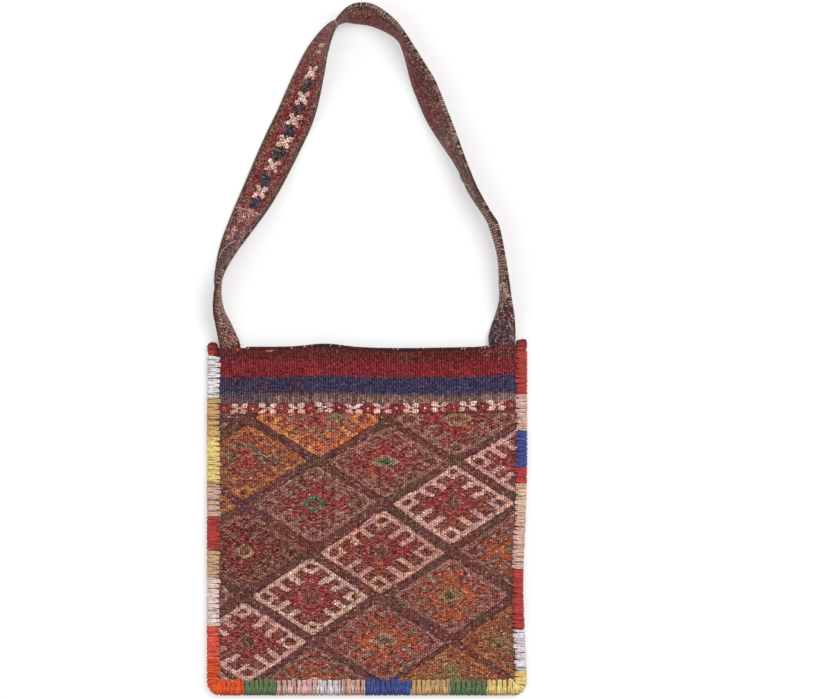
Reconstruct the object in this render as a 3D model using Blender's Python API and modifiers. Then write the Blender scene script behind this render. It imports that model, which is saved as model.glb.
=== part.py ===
"""Flat-woven kilim shoulder bag: two wool panels, a seam wrapped in coloured yarn, and a long strap.

The bag lies on its back with the strap laid out beyond the open mouth. X runs across the bag, Y from
its bottom towards the strap, and Z up through the front panel. While the pieces are made, y = 0 is the
mouth line, x = 0 the middle of the bag and z = 0 the surface that it lies on. At the end the whole bag
is moved so that the origin is the centre of its footprint.
"""

import math

import bmesh
import bpy
from mathutils import Vector

# Driving dimensions, in metres
BAG_WIDTH = 0.300
BAG_HEIGHT = 0.325
CORNER_RADIUS = 0.013
PANEL_THICKNESS = 0.0022
CLEARANCE = 0.0003
FRONT_CROWN = 0.0075
CROWN_RUN = 0.0045
BACK_RUN = 0.006
MOUTH_CURL = 0.00140
MOUTH_CURL_RUN = 0.014

# Yarn binding over the side and bottom seams
BINDING_WIDTH = 0.0115
BINDING_WALL = 0.0022
SEAM_MARGIN = 0.0030
WRAP_PITCH = 0.018
WRAP_RIDGE = 0.0003
LIP_HEIGHT = 0.0007
BINDING_FULLNESS = 2.6
KNOB_RISE = 0.0056
KNOB_BELOW = 0.0078
TIP_RISE = 0.0042
TIP_BELOW = 0.0050

# Overcast yarn along the two edges of the mouth
OVERCAST_DEPTH = 0.0032
OVERCAST_WALL = 0.0008
OVERCAST_PITCH = 0.026
OVERCAST_RIDGE = 0.0002

# Weave of the front panel: ribbed stripes below the mouth, then a border row, then a diamond lattice
STRIPES = (("maroon", 0.0118), ("madder", 0.0152), ("navy", 0.0152), ("grey_brown", 0.0095))
BORDER_ROW = 0.0110
BORDER_PITCH = 0.0267
BORDER_FIGURE = 0.0165
RIB_PITCH = 0.0030
RIB_HEIGHT = 0.0004
RELIEF_RUN = 0.002
CELL_HALF_WIDTH = 0.0645
CELL_HALF_HEIGHT = 0.0415
LATTICE_X = 0.0140
LATTICE_Y = -0.1892
BAND_HALF = 0.0036
DIAMOND_RELIEF = 0.0008
OUTLINE_WIDTH = 0.0034
EYE_HALF_WIDTH = 0.0062
EYE_RELIEF = 0.0005

# Strap
STRAP_RISE = 0.312
STRAP_WIDTH = 0.035
STRAP_END_WIDTH = 0.021
STRAP_TAPER = 0.090
STRAP_THICKNESS = 0.0022
STRAP_CUP = 0.0035
STRAP_IN_MOUTH = 0.022
STRAP_SIDE_GAP = 0.0035
STRAP_STEP = 0.011
MOTIF_COLUMN = 0.011
STRAP_BORDER = 0.0045
MOTIF_START = 0.125
MOTIF_END = 0.335
MOTIF_INSET = 0.0012
MOTIF_RELIEF = 0.0005
TACK_DIAMETER = 0.0012
TACK_TURNS = 5
TACK_DEPTH = 0.009

# Shape steps: section points, corner facets and the cuts where the cloth rises from the binding
CORNER_STEPS = 5
CURVE_PARTS = 12
CUT_SNAP = 1e-6
MARGIN_STEP = 0.018
MOUTH_STEP = 0.0135
FRONT_MARGIN_RUNS = (0.0, 0.003, 0.010)
BACK_MARGIN_RUNS = (0.0, 0.0020, 0.0040, 0.0060)
BINDING_SECTION_SHARES = (-0.5, 0.4, 0.93)
OVERCAST_SHOULDER = (0.7, 0.6)
END_DRAWN_OUT = 1.8
TIP_TAPER = 0.35

# How the bag has settled: a waist on the right side and a rippled mouth line
WAIST = 0.0037
WAIST_Y = -0.222
WAIST_RUN = 0.062
MOUTH_RIPPLE = 0.0030
RIPPLE_X = -0.039
RIPPLE_RUN = 0.022
MOUTH_DIP = 0.0012
DIP_X = 0.036
DIP_RUN = 0.050
MOUTH_RISE = 0.0042
RISE_X = 0.099
RISE_RUN = 0.036
RIPPLE_FADE = 0.035

# The strap's route over the surface: x, y (metres) and the roll of its patterned face in degrees.
# At roll 0 that face looks up, at 90 it looks out of the loop, and past 90 the plain face shows.
# The route is stretched to the strap's seats in x and to the loop's rise in y.
STRAP_ROUTE = (
    (-0.1250, 0.002, 174), (-0.1270, 0.011, 152), (-0.1325, 0.020, 118), (-0.1380, 0.031, 104),
    (-0.1407, 0.043, 92), (-0.1410, 0.056, 85), (-0.1388, 0.069, 77), (-0.1290, 0.093, 60),
    (-0.1163, 0.117, 44), (-0.0996, 0.148, 24), (-0.0783, 0.194, 4), (-0.0664, 0.219, 12),
    (-0.0555, 0.253, 43), (-0.0472, 0.278, 67), (-0.0344, 0.301, 86), (-0.0241, 0.3085, 99),
    (-0.0113, 0.312, 113), (0.0018, 0.3115, 114), (0.0138, 0.306, 109), (0.0247, 0.2985, 103),
    (0.0336, 0.289, 97), (0.0394, 0.277, 102), (0.0494, 0.253, 118), (0.0550, 0.241, 123),
    (0.0651, 0.217, 122), (0.0771, 0.193, 112), (0.0891, 0.170, 100), (0.1001, 0.146, 97),
    (0.1142, 0.124, 92), (0.1199, 0.112, 96), (0.1267, 0.086, 92), (0.1289, 0.060, 99),
    (0.1297, 0.045, 105), (0.1285, 0.029, 125), (0.1262, 0.016, 150), (0.1250, 0.006, 175),
)

# Yarn lengths of the binding, in order from the left of the mouth, round the bottom, to the right
BINDING_YARNS = (
    ("white", 0.0393), ("olive_tan", 0.0354), ("yellow", 0.0447), ("pink_tan", 0.0299),
    ("red", 0.0317), ("tan", 0.0261), ("dirty_white", 0.0447), ("vermilion", 0.0317),
    ("orange", 0.0540), ("green", 0.0308), ("pink", 0.0382), ("lavender_white", 0.0224),
    ("pink_beige", 0.0223), ("blue", 0.0429), ("olive_tan", 0.0364), ("green", 0.0344),
    ("yellow", 0.0476), ("lavender_white", 0.0382), ("red", 0.0559), ("pink_cream", 0.0400),
    ("cream", 0.0402), ("red", 0.0149), ("blue", 0.0344), ("pink_cream", 0.0327), ("red", 0.0396),
)

PALETTE = {
    "maroon": (0.105, 0.016, 0.016), "madder": (0.230, 0.022, 0.018), "navy": (0.036, 0.040, 0.085),
    "grey_brown": (0.125, 0.085, 0.066), "cream": (0.600, 0.420, 0.270), "rose": (0.350, 0.080, 0.070),
    "lattice_brown": (0.060, 0.034, 0.028), "gold": (0.380, 0.150, 0.035),
    "dusty": (0.190, 0.080, 0.055), "brick": (0.230, 0.036, 0.024), "mottled": (0.130, 0.052, 0.038),
    "rust": (0.270, 0.060, 0.025), "olive": (0.130, 0.120, 0.045), "leaf": (0.020, 0.130, 0.075),
    "strap_brown": (0.125, 0.045, 0.032), "strap_border": (0.070, 0.043, 0.030),
    "white": (0.720, 0.700, 0.680), "olive_tan": (0.440, 0.300, 0.100), "yellow": (0.720, 0.520, 0.100),
    "pink_tan": (0.520, 0.300, 0.200), "red": (0.450, 0.040, 0.025), "tan": (0.500, 0.290, 0.160),
    "dirty_white": (0.580, 0.540, 0.500), "vermilion": (0.500, 0.070, 0.025),
    "orange": (0.650, 0.160, 0.010), "green": (0.080, 0.200, 0.060), "pink": (0.600, 0.300, 0.270),
    "lavender_white": (0.640, 0.600, 0.660), "pink_beige": (0.560, 0.380, 0.290),
    "blue": (0.030, 0.060, 0.280), "pink_cream": (0.640, 0.440, 0.320),
    "dark_red": (0.200, 0.018, 0.012), "dark_brown": (0.050, 0.022, 0.018),
    "tack_orange": (0.560, 0.090, 0.020),
}

# Plain stripes of the back panel
BACK_YARNS = ("maroon", "navy", "grey_brown")
BACK_STRIPE = 0.040

# Yarn of the diamonds, by the diagonal that they stand on
OUTLINE_YARN = {-3: "mottled", -2: "gold", -1: "dusty", 0: "cream", 1: "dusty", 2: "gold", 3: "dusty"}
FIELD_YARN = {-3: "mottled", -2: "mottled", -1: "brick", 0: "brick", 1: "rust", 2: "gold", 3: "rust"}
EYE_YARN = {-3: "dusty", -2: "rose", -1: "leaf", 0: "mottled", 1: "olive", 2: "brick", 3: "olive"}

# Levels that follow from the driving dimensions
CHANNEL_HALF = 1.5 * CLEARANCE + PANEL_THICKNESS
BINDING_HALF = CHANNEL_HALF + BINDING_WALL
SEAM_HEIGHT = BINDING_HALF + WRAP_RIDGE
PANEL_HALF_WIDTH = BAG_WIDTH / 2 - SEAM_MARGIN
PANEL_BOTTOM = -(BAG_HEIGHT - SEAM_MARGIN)
INNER_HALF_WIDTH = BAG_WIDTH / 2 - BINDING_WIDTH
INNER_BOTTOM = -(BAG_HEIGHT - BINDING_WIDTH)
STRAP_BASE_X = INNER_HALF_WIDTH - STRAP_SIDE_GAP - STRAP_END_WIDTH / 2
RIB_TOP = -OVERCAST_DEPTH - 2 * CLEARANCE
STRIPES_BOTTOM = -sum(height for _, height in STRIPES)
BORDER_BOTTOM = STRIPES_BOTTOM - BORDER_ROW
LATTICE_SLANT = math.hypot(1 / CELL_HALF_WIDTH, 1 / CELL_HALF_HEIGHT)


def smooth(t):
    """0 before t = 0, 1 after t = 1, with an S-shaped rise between."""
    t = min(max(t, 0.0), 1.0)
    return t * t * (3 - 2 * t)


def settled(x, y):
    """Where a point of the flat bag lies once it has settled: the waist and the rippled mouth."""
    share = x / BAG_WIDTH + 0.5
    waist = WAIST * math.exp(-(((y - WAIST_Y) / WAIST_RUN) ** 2)) * share
    ripple = (
        MOUTH_RIPPLE * math.exp(-(((x - RIPPLE_X) / RIPPLE_RUN) ** 2))
        - MOUTH_DIP * math.exp(-(((x - DIP_X) / DIP_RUN) ** 2))
        + MOUTH_RISE * smooth((x - RISE_X) / RISE_RUN)
    )
    return x - waist, y + ripple * math.exp(min(y, 0.0) / RIPPLE_FADE)


def inside_binding(x, y):
    """How far a point lies inside the binding's inner edge, from the sides and from the bottom."""
    return INNER_HALF_WIDTH - abs(x), y - INNER_BOTTOM


def front_top(x, y):
    """Height of the front panel's outer face, before its weave relief."""
    side, bottom = inside_binding(x, y)
    lift = (1 - math.exp(-max(side, 0) / CROWN_RUN)) * (1 - math.exp(-max(bottom, 0) / CROWN_RUN))
    return SEAM_HEIGHT + CLEARANCE / 2 + PANEL_THICKNESS + FRONT_CROWN * lift


def back_bottom(x, y):
    """Height of the back panel's outer face: 0 where it lies flat."""
    side, bottom = inside_binding(x, y)
    drop = smooth(side / BACK_RUN) * smooth(bottom / BACK_RUN)
    curl = MOUTH_CURL * smooth((y + MOUTH_CURL_RUN) / (MOUTH_CURL_RUN - OVERCAST_DEPTH)) * drop
    return (SEAM_HEIGHT - CLEARANCE / 2 - PANEL_THICKNESS) * (1 - drop) + curl


def lattice_place(x, y):
    """Coordinates along the two slanted directions: a diamond's middle is at even whole numbers."""
    across, up = (x - LATTICE_X) / CELL_HALF_WIDTH, (y - LATTICE_Y) / CELL_HALF_HEIGHT
    return across + up, across - up


def band_distance(x, y):
    """Distance from the middle of the nearest lattice band."""
    return min(abs(value % 2 - 1) for value in lattice_place(x, y)) / LATTICE_SLANT


def weave_relief(x, y):
    """Height of the weave over the panel's outer face: ribs in the stripes, raised diamonds below."""
    side, bottom = inside_binding(x, y)
    free = smooth(side / RELIEF_RUN) * smooth(bottom / RELIEF_RUN)
    if y < BORDER_BOTTOM:
        return DIAMOND_RELIEF * min(band_distance(x, y) / BAND_HALF, 1) * free
    if STRIPES_BOTTOM + CUT_SNAP < y < RIB_TOP - CUT_SNAP:
        return RIB_HEIGHT * (1 - abs((x / RIB_PITCH) % 1 - 0.5) * 2) * free
    return 0.0


def yarn_at(x, y, ring=0):
    """Palette name of the weave at a point of a diamond's outline (ring 0), field (1) or eye (2)."""
    low = 0.0
    for name, height in STRIPES:
        low -= height
        if y > low:
            return name
    if y > BORDER_BOTTOM:
        return "cream" if x % BORDER_PITCH < BORDER_FIGURE else "rose"
    if band_distance(x, y) < BAND_HALF:
        return "lattice_brown"
    diagonal = min(max(math.floor((lattice_place(x, y)[1] + 1) / 2), -3), 3)
    return (OUTLINE_YARN, FIELD_YARN, EYE_YARN)[ring][diagonal]


def material(name):
    """The wool material of a palette colour, made once."""
    found = bpy.data.materials.get(name)
    if found:
        return found
    made = bpy.data.materials.new(name)
    made.use_nodes = True
    shader = made.node_tree.nodes["Principled BSDF"]
    shader.inputs["Base Color"].default_value = (*PALETTE[name], 1)
    shader.inputs["Roughness"].default_value = 0.9
    shader.inputs["Metallic"].default_value = 0
    shader.inputs["Sheen Weight"].default_value = 0.3
    made.diffuse_color = (*PALETTE[name], 1)
    return made


def add_object(name, mesh, yarns, bag, collection):
    """Links a mesh into the scene as one named piece of the bag, in its yarn colours."""
    mesh.name = name
    for yarn in yarns:
        mesh.materials.append(material(yarn))
    piece = bpy.data.objects.new(name, mesh)
    piece.parent = bag
    collection.objects.link(piece)
    return piece


def mesh_of(bm):
    """A smooth-shaded mesh from a bmesh, which is freed."""
    bm.normal_update()
    mesh = bpy.data.meshes.new("piece")
    bm.to_mesh(mesh)
    bm.free()
    mesh.shade_smooth()
    mesh.set_sharp_from_angle(angle=math.radians(35))
    return mesh


def panel_cloth():
    """A panel as cut: one flat face, square at the mouth and rounded at the two bottom corners."""
    bm = bmesh.new()
    radius = CORNER_RADIUS - SEAM_MARGIN
    half, low = PANEL_HALF_WIDTH, PANEL_BOTTOM
    rim = [(half, 0.0), (-half, 0.0)]
    for middle_x, start in ((-half + radius, 180), (half - radius, 270)):
        for step in range(CORNER_STEPS + 1):
            angle = math.radians(start + 90 * step / CORNER_STEPS)
            rim.append((middle_x + radius * math.cos(angle), low + radius + radius * math.sin(angle)))
    bm.faces.new([bm.verts.new((x, y, 0)) for x, y in rim])
    return bm


def in_margin(middle):
    """Accepts faces at the two sides, in the binding and where the cloth rises out of it."""
    return abs(middle.x) > INNER_HALF_WIDTH - BACK_RUN


def in_mouth(middle):
    """Accepts faces along the mouth."""
    return middle.y > -MOUTH_CURL_RUN


def in_ribs(middle):
    """Accepts faces of the ribbed stripes."""
    return STRIPES_BOTTOM < middle.y < RIB_TOP


def in_border(middle):
    """Accepts faces of the border row."""
    return BORDER_BOTTOM < middle.y < STRIPES_BOTTOM


def in_lattice(middle):
    """Accepts faces of the diamond lattice, inside the binding."""
    return INNER_BOTTOM < middle.y < BORDER_BOTTOM and abs(middle.x) < INNER_HALF_WIDTH


def cut(bm, point, normal, where=None):
    """Cuts the flat cloth along a straight line, in all faces or in those whose middles are accepted."""
    faces = [face for face in bm.faces if where is None or where(face.calc_center_median())]
    edges = {edge for face in faces for edge in face.edges}
    verts = {vert for face in faces for vert in face.verts}
    bmesh.ops.bisect_plane(
        bm,
        geom=[*verts, *edges, *faces],
        dist=CUT_SNAP,
        plane_co=(*point, 0),
        plane_no=(*normal, 0),
    )


def cut_curved_margins(bm, runs):
    """Lines along the sides and the bottom, where the cloth rises out of the binding."""
    for run in runs:
        for side in (-1, 1):
            cut(bm, (side * (INNER_HALF_WIDTH - run), 0), (1, 0))
        cut(bm, (0, INNER_BOTTOM + run), (0, 1))
    for step in range(1, int(BAG_HEIGHT / MARGIN_STEP)):
        cut(bm, (0, -step * MARGIN_STEP), (0, 1), in_margin)
    reach = int(INNER_HALF_WIDTH / MOUTH_STEP)
    for step in range(-reach, reach + 1):
        cut(bm, (step * MOUTH_STEP, 0), (1, 0), in_mouth)


def cut_ribs(bm):
    """Lines along the crest and foot of each rib of the plain stripes."""
    half_pitch = RIB_PITCH / 2
    count = int(INNER_HALF_WIDTH / half_pitch)
    for step in range(-count, count + 1):
        cut(bm, (step * half_pitch, 0), (1, 0), in_ribs)


def cut_lattice(bm):
    """Lines along the bottom and both crests of every lattice band, in the two slanted directions."""
    reach = int(BAG_HEIGHT / CELL_HALF_HEIGHT + BAG_WIDTH / CELL_HALF_WIDTH)
    for turn in (1, -1):
        normal = Vector((1 / CELL_HALF_WIDTH, turn / CELL_HALF_HEIGHT))
        for line in range(-reach, reach + 1):
            if line % 2 == 0:
                continue
            for offset in (-BAND_HALF, 0, BAND_HALF):
                place = Vector((LATTICE_X, LATTICE_Y)) + normal / LATTICE_SLANT**2 * line
                place += normal.normalized() * offset
                cut(bm, place, normal, in_lattice)


def raise_eyes(bm, ring_layer):
    """Insets each whole diamond twice, for its outline and for the small raised diamond in its middle."""
    whole = 2 * CELL_HALF_WIDTH * CELL_HALF_HEIGHT * (1 - BAND_HALF * LATTICE_SLANT) ** 2
    below = [face for face in bm.faces if face.calc_center_median().y < BORDER_BOTTOM]
    diamonds = [face for face in below if math.isclose(face.calc_area(), whole, rel_tol=0.01)]
    bmesh.ops.inset_individual(bm, faces=diamonds, thickness=OUTLINE_WIDTH)
    to_eye = 1 / LATTICE_SLANT - BAND_HALF - OUTLINE_WIDTH - EYE_HALF_WIDTH
    field = bmesh.ops.inset_individual(bm, faces=diamonds, thickness=to_eye)["faces"]
    for face in field:
        face[ring_layer] = 1
    for face in diamonds:
        face[ring_layer] = 2
    return {vert for face in diamonds for vert in face.verts}


def cut_border(bm):
    """Lines across the border row, at both ends of each of its cream figures."""
    reach = int(INNER_HALF_WIDTH / BORDER_PITCH)
    for figure in range(-reach, reach + 1):
        for end in (0, BORDER_FIGURE):
            cut(bm, (figure * BORDER_PITCH + end, 0), (1, 0), in_border)


def make_front_panel(bag, collection):
    """The patterned panel: cut flat along its stripes and lattice, then laid over the bag's crown."""
    bm = panel_cloth()
    cut(bm, (0, RIB_TOP), (0, 1))
    low = 0.0
    for _, height in STRIPES:
        low -= height
        cut(bm, (0, low), (0, 1))
    cut(bm, (0, BORDER_BOTTOM), (0, 1))
    cut_ribs(bm)
    cut_curved_margins(bm, FRONT_MARGIN_RUNS)
    cut_border(bm)
    cut_lattice(bm)
    ring_layer = bm.faces.layers.int.new("ring")
    eyes = raise_eyes(bm, ring_layer)
    names = {face: yarn_at(*face.calc_center_median().xy, face[ring_layer]) for face in bm.faces}
    yarns = sorted(set(names.values()))
    for face, name in names.items():
        face.material_index = yarns.index(name)
    for vert in bm.verts:
        x, y = vert.co.x, vert.co.y
        height = front_top(x, y) + weave_relief(x, y) + (EYE_RELIEF if vert in eyes else 0)
        vert.co = (*settled(x, y), height)
    return clothe(bm, "front_panel", yarns, bag, collection)


def make_back_panel(bag, collection):
    """The plain panel, which lies flat on the surface and curls up to the binding and to the mouth."""
    bm = panel_cloth()
    for depth in (OVERCAST_DEPTH, (OVERCAST_DEPTH + MOUTH_CURL_RUN) / 2, MOUTH_CURL_RUN):
        cut(bm, (0, -depth), (0, 1))
    cut_curved_margins(bm, BACK_MARGIN_RUNS)
    for step in range(1, int(BAG_HEIGHT / BACK_STRIPE) + 1):
        cut(bm, (0, -step * BACK_STRIPE), (0, 1))
    for face in bm.faces:
        face.material_index = int(-face.calc_center_median().y / BACK_STRIPE) % len(BACK_YARNS)
    for vert in bm.verts:
        x, y = vert.co.x, vert.co.y
        vert.co = (*settled(x, y), back_bottom(x, y))
    bmesh.ops.reverse_faces(bm, faces=bm.faces)
    return clothe(bm, "back_panel", BACK_YARNS, bag, collection)


def clothe(bm, name, yarns, bag, collection):
    """Makes a panel of its outer face: a shell of cloth thickness, inwards."""
    bm.normal_update()
    panel = add_object(name, mesh_of(bm), yarns, bag, collection)
    shell = panel.modifiers.new("cloth thickness", "SOLIDIFY")
    shell.thickness = PANEL_THICKNESS
    shell.offset = -1
    return panel


def loft(rings):
    """One closed body through a row of rings with equal numbers of points, with a flat cap at each end."""
    bm = bmesh.new()
    rows = [[bm.verts.new(point) for point in ring] for ring in rings]
    count = len(rows[0])
    for near, far in zip(rows, rows[1:]):
        for k in range(count):
            bm.faces.new((near[k], near[(k + 1) % count], far[(k + 1) % count], far[k]))
    bm.faces.new(reversed(rows[0]))
    bm.faces.new(rows[-1])
    bmesh.ops.recalc_face_normals(bm, faces=bm.faces)
    return bm


def binding_section(ridge):
    """The wrapped yarn in section: (outward, upward) points round a slot that takes the two panels."""
    half_width, half_height = BINDING_WIDTH / 2 + ridge, BINDING_HALF + ridge
    lip = CHANNEL_HALF + LIP_HEIGHT
    lip_out = -half_width * (1 - (lip / half_height) ** BINDING_FULLNESS) ** (1 / BINDING_FULLNESS)
    outer = [(lip_out, lip)]
    for share in BINDING_SECTION_SHARES:
        out = half_width * share
        up = half_height * (1 - abs(share) ** BINDING_FULLNESS) ** (1 / BINDING_FULLNESS)
        outer.append((out, up))
    slot_end = PANEL_HALF_WIDTH + CLEARANCE - (BAG_WIDTH - BINDING_WIDTH) / 2
    below = [(out, -up) for out, up in reversed(outer)]
    slot = [(lip_out, -CHANNEL_HALF), (slot_end, -CHANNEL_HALF)]
    slot += [(out, -up) for out, up in reversed(slot)]
    return outer + below + slot


def seam_lengths():
    """Lengths of the seam's middle line: down a side, round a corner and along the bottom."""
    arc = math.pi / 2 * (CORNER_RADIUS - BINDING_WIDTH / 2)
    return BAG_HEIGHT - CORNER_RADIUS, arc, BAG_WIDTH - 2 * CORNER_RADIUS


def seam_length():
    """Length of the whole seam's middle line, from one end of the mouth to the other."""
    side, arc, bottom = seam_lengths()
    return 2 * side + 2 * arc + bottom


def seam_place(s):
    """Middle of the binding and its outward direction, s along the seam from the left of the mouth."""
    half = (BAG_WIDTH - BINDING_WIDTH) / 2
    radius = CORNER_RADIUS - BINDING_WIDTH / 2
    side, arc, bottom = seam_lengths()
    if s < side:
        return (-half, -s), (-1, 0)
    if s < side + arc:
        turned = (s - side) / radius
        out = (-math.cos(turned), -math.sin(turned))
        return (-half + radius + radius * out[0], -side + radius * out[1]), out
    if s <= side + arc + bottom / 2:
        return (s - side - arc - bottom / 2, -side - radius), (0, -1)
    (x, y), (out_x, out_y) = seam_place(seam_length() - s)
    return (-x, y), (-out_x, out_y)


def wrap_stations(first, last):
    """Places of a binding piece's rings along the seam, closer together round a corner."""
    side, arc, bottom = seam_lengths()
    turns = [(side, side + arc), (side + arc + bottom, side + 2 * arc + bottom)]
    breaks = sorted({first, last, *(place for turn in turns for place in turn if first < place < last)})
    stations = [first]
    for near, far in zip(breaks, breaks[1:]):
        in_turn = any(start < (near + far) / 2 < end for start, end in turns)
        step = arc / CORNER_STEPS if in_turn else WRAP_PITCH / 2
        count = max(1, round((far - near) / step))
        stations += [near + (far - near) * k / count for k in range(1, count + 1)]
    return stations


def wrap_ring(s, ridge):
    """One ring of the binding: its section, set across the seam at s and settled with the bag."""
    (x, y), (out_x, out_y) = seam_place(s)
    ring = []
    for out, up in binding_section(ridge):
        ring.append((*settled(x + out_x * out, y + out_y * out), SEAM_HEIGHT + up))
    return ring


def make_binding(bag, collection):
    """Each yarn length of the binding as a piece of its own, laid end to end round the seam."""
    start, end = KNOB_BELOW, seam_length() - TIP_BELOW
    scale = (end - start) / sum(length for _, length in BINDING_YARNS)
    s = start
    for number, (yarn, length) in enumerate(BINDING_YARNS, start=1):
        first, last = s + CLEARANCE / 2, s + length * scale - CLEARANCE / 2
        ridges = (-WRAP_RIDGE, WRAP_RIDGE)
        rings = [wrap_ring(place, ridges[k % 2]) for k, place in enumerate(wrap_stations(first, last))]
        mesh = mesh_of(loft(rings))
        add_object(f"binding_{number:02d}_{yarn}", mesh, [yarn], bag, collection)
        s += length * scale


def settle_bmesh(bm):
    """Moves every point of a mesh with the settled bag."""
    for vert in bm.verts:
        x, y, z = vert.co
        vert.co = (*settled(x, y), z)


def slot_cutter(name, side, bottom, bag, cutters):
    """The space that the two panels' corners need inside a binding end, as a hidden cutter."""
    bm = bmesh.new()
    bmesh.ops.create_cube(bm, size=1)
    reach = BINDING_WIDTH / 8
    low = Vector((INNER_HALF_WIDTH - reach, bottom - reach, SEAM_HEIGHT - CHANNEL_HALF))
    high = Vector((PANEL_HALF_WIDTH + CLEARANCE, CLEARANCE, SEAM_HEIGHT + CHANNEL_HALF))
    for vert in bm.verts:
        corner = [far if at > 0 else near for at, near, far in zip(vert.co, low, high)]
        vert.co = (side * corner[0], corner[1], corner[2])
    settle_bmesh(bm)
    bmesh.ops.recalc_face_normals(bm, faces=bm.faces)
    cutter = add_object(name, mesh_of(bm), ["dark_brown"], bag, cutters)
    cutter.hide_render = True
    cutter.display_type = "WIRE"
    return cutter


def make_binding_end(name, side, rise, below, taper, yarn, bag, collection, cutters):
    """An end of the binding at a mouth corner: rounded yarn with a slot for the panels' corners.

    It is a sphere drawn out along the seam and cut flat where the next yarn length starts.
    """
    bm = bmesh.new()
    bmesh.ops.create_uvsphere(bm, u_segments=12, v_segments=8, radius=1)
    middle_x = side * (BAG_WIDTH - BINDING_WIDTH) / 2
    bottom = CLEARANCE / 2 - below
    half_width, half_height = BINDING_WIDTH / 2, BINDING_HALF
    for vert in bm.verts:
        across, up, along = vert.co
        narrow = 1 - taper * max(along, 0)
        y = along * (rise if along > 0 else below * END_DRAWN_OUT)
        vert.co = (middle_x + across * narrow * half_width, y, SEAM_HEIGHT + up * narrow * half_height)
    bmesh.ops.bisect_plane(
        bm,
        geom=[*bm.verts, *bm.edges, *bm.faces],
        plane_co=(0, bottom, 0),
        plane_no=(0, -1, 0),
        clear_outer=True,
    )
    bmesh.ops.holes_fill(bm, edges=[edge for edge in bm.edges if edge.is_boundary], sides=0)
    settle_bmesh(bm)
    bmesh.ops.recalc_face_normals(bm, faces=bm.faces)
    end = add_object(name, mesh_of(bm), [yarn], bag, collection)
    slot = end.modifiers.new("slot for the panels", "BOOLEAN")
    slot.operation = "DIFFERENCE"
    slot.object = slot_cutter(f"{name}_slot", side, bottom, bag, cutters)
    return end


def overcast_ring(x, level, ridge):
    """Overcast yarn in section at x, round a panel's mouth edge whose middle is at height level."""
    half_slot = PANEL_THICKNESS / 2 + CLEARANCE
    half = half_slot + OVERCAST_WALL + ridge
    top = CLEARANCE + OVERCAST_WALL + ridge
    lip = half_slot + OVERCAST_WALL / 3
    shoulder = (top * OVERCAST_SHOULDER[0], half * OVERCAST_SHOULDER[1])
    upper = [(-OVERCAST_DEPTH, lip), (-OVERCAST_DEPTH / 2, half), (0, half), shoulder]
    outline = [*upper, (top, 0), *((y, -z) for y, z in reversed(upper))]
    slot = [(-OVERCAST_DEPTH, -half_slot), (CLEARANCE, -half_slot)]
    slot += [(y, -z) for y, z in reversed(slot)]
    return [(*settled(x, y), level + z) for y, z in outline + slot]


def make_overcast(name, level_at, yarn, bag, collection):
    """Yarn whipped over a panel's edge, from one strap base to the other."""
    reach = STRAP_BASE_X - STRAP_END_WIDTH / 2 - 2 * OVERCAST_WALL
    steps = 4 * round(reach / OVERCAST_PITCH)
    rings = []
    for step in range(steps + 1):
        x = -reach + 2 * reach * step / steps
        rings.append(overcast_ring(x, level_at(x), OVERCAST_RIDGE if step % 2 else -OVERCAST_RIDGE))
    return add_object(name, mesh_of(loft(rings)), [yarn], bag, collection)


def front_mouth_level(x):
    """Height of the middle of the front panel's mouth edge."""
    return front_top(x, 0) - PANEL_THICKNESS / 2


def back_mouth_level(x):
    """Height of the middle of the back panel's mouth edge."""
    return back_bottom(x, 0) + PANEL_THICKNESS / 2


def smooth_curve(points):
    """Closely spaced points on a smooth curve through the given ones."""
    ends = [points[0] * 2 - points[1], *points, points[-1] * 2 - points[-2]]
    curve = []
    for a, b, c, d in zip(ends, ends[1:], ends[2:], ends[3:]):
        for part in range(CURVE_PARTS):
            t = part / CURVE_PARTS
            bend = (2 * a - 5 * b + 4 * c - d) * t**2 + (3 * b - a - 3 * c + d) * t**3
            curve.append((2 * b + (c - a) * t + bend) / 2)
    return [*curve, points[-1]]


def lengths_along(curve):
    """How far along a curve each of its points lies, measured over the surface."""
    lengths = [0.0]
    for a, b in zip(curve, curve[1:]):
        lengths.append(lengths[-1] + (b.xy - a.xy).length)
    return lengths


def strap_stations():
    """The strap from end to end, in equal steps: x, y and roll, and how far along each station is."""
    stretch = Vector((STRAP_BASE_X / STRAP_ROUTE[-1][0], STRAP_RISE / max(y for _, y, _ in STRAP_ROUTE)))
    route = [Vector((x * stretch.x, y * stretch.y, roll)) for x, y, roll in STRAP_ROUTE]
    half_in, all_in = (Vector((0, -STRAP_IN_MOUTH * share, 0)) for share in (0.5, 1.0))
    route = [route[0] + all_in, route[0] + half_in, *route, route[-1] + half_in, route[-1] + all_in]
    curve = smooth_curve(route)
    lengths = lengths_along(curve)
    steps = round(lengths[-1] / STRAP_STEP)
    stations, k = [], 0
    for step in range(steps + 1):
        run = lengths[-1] * step / steps
        while lengths[k + 1] < run and k < len(curve) - 2:
            k += 1
        share = (run - lengths[k]) / (lengths[k + 1] - lengths[k])
        stations.append((curve[k].lerp(curve[k + 1], share), run))
    return stations


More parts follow.
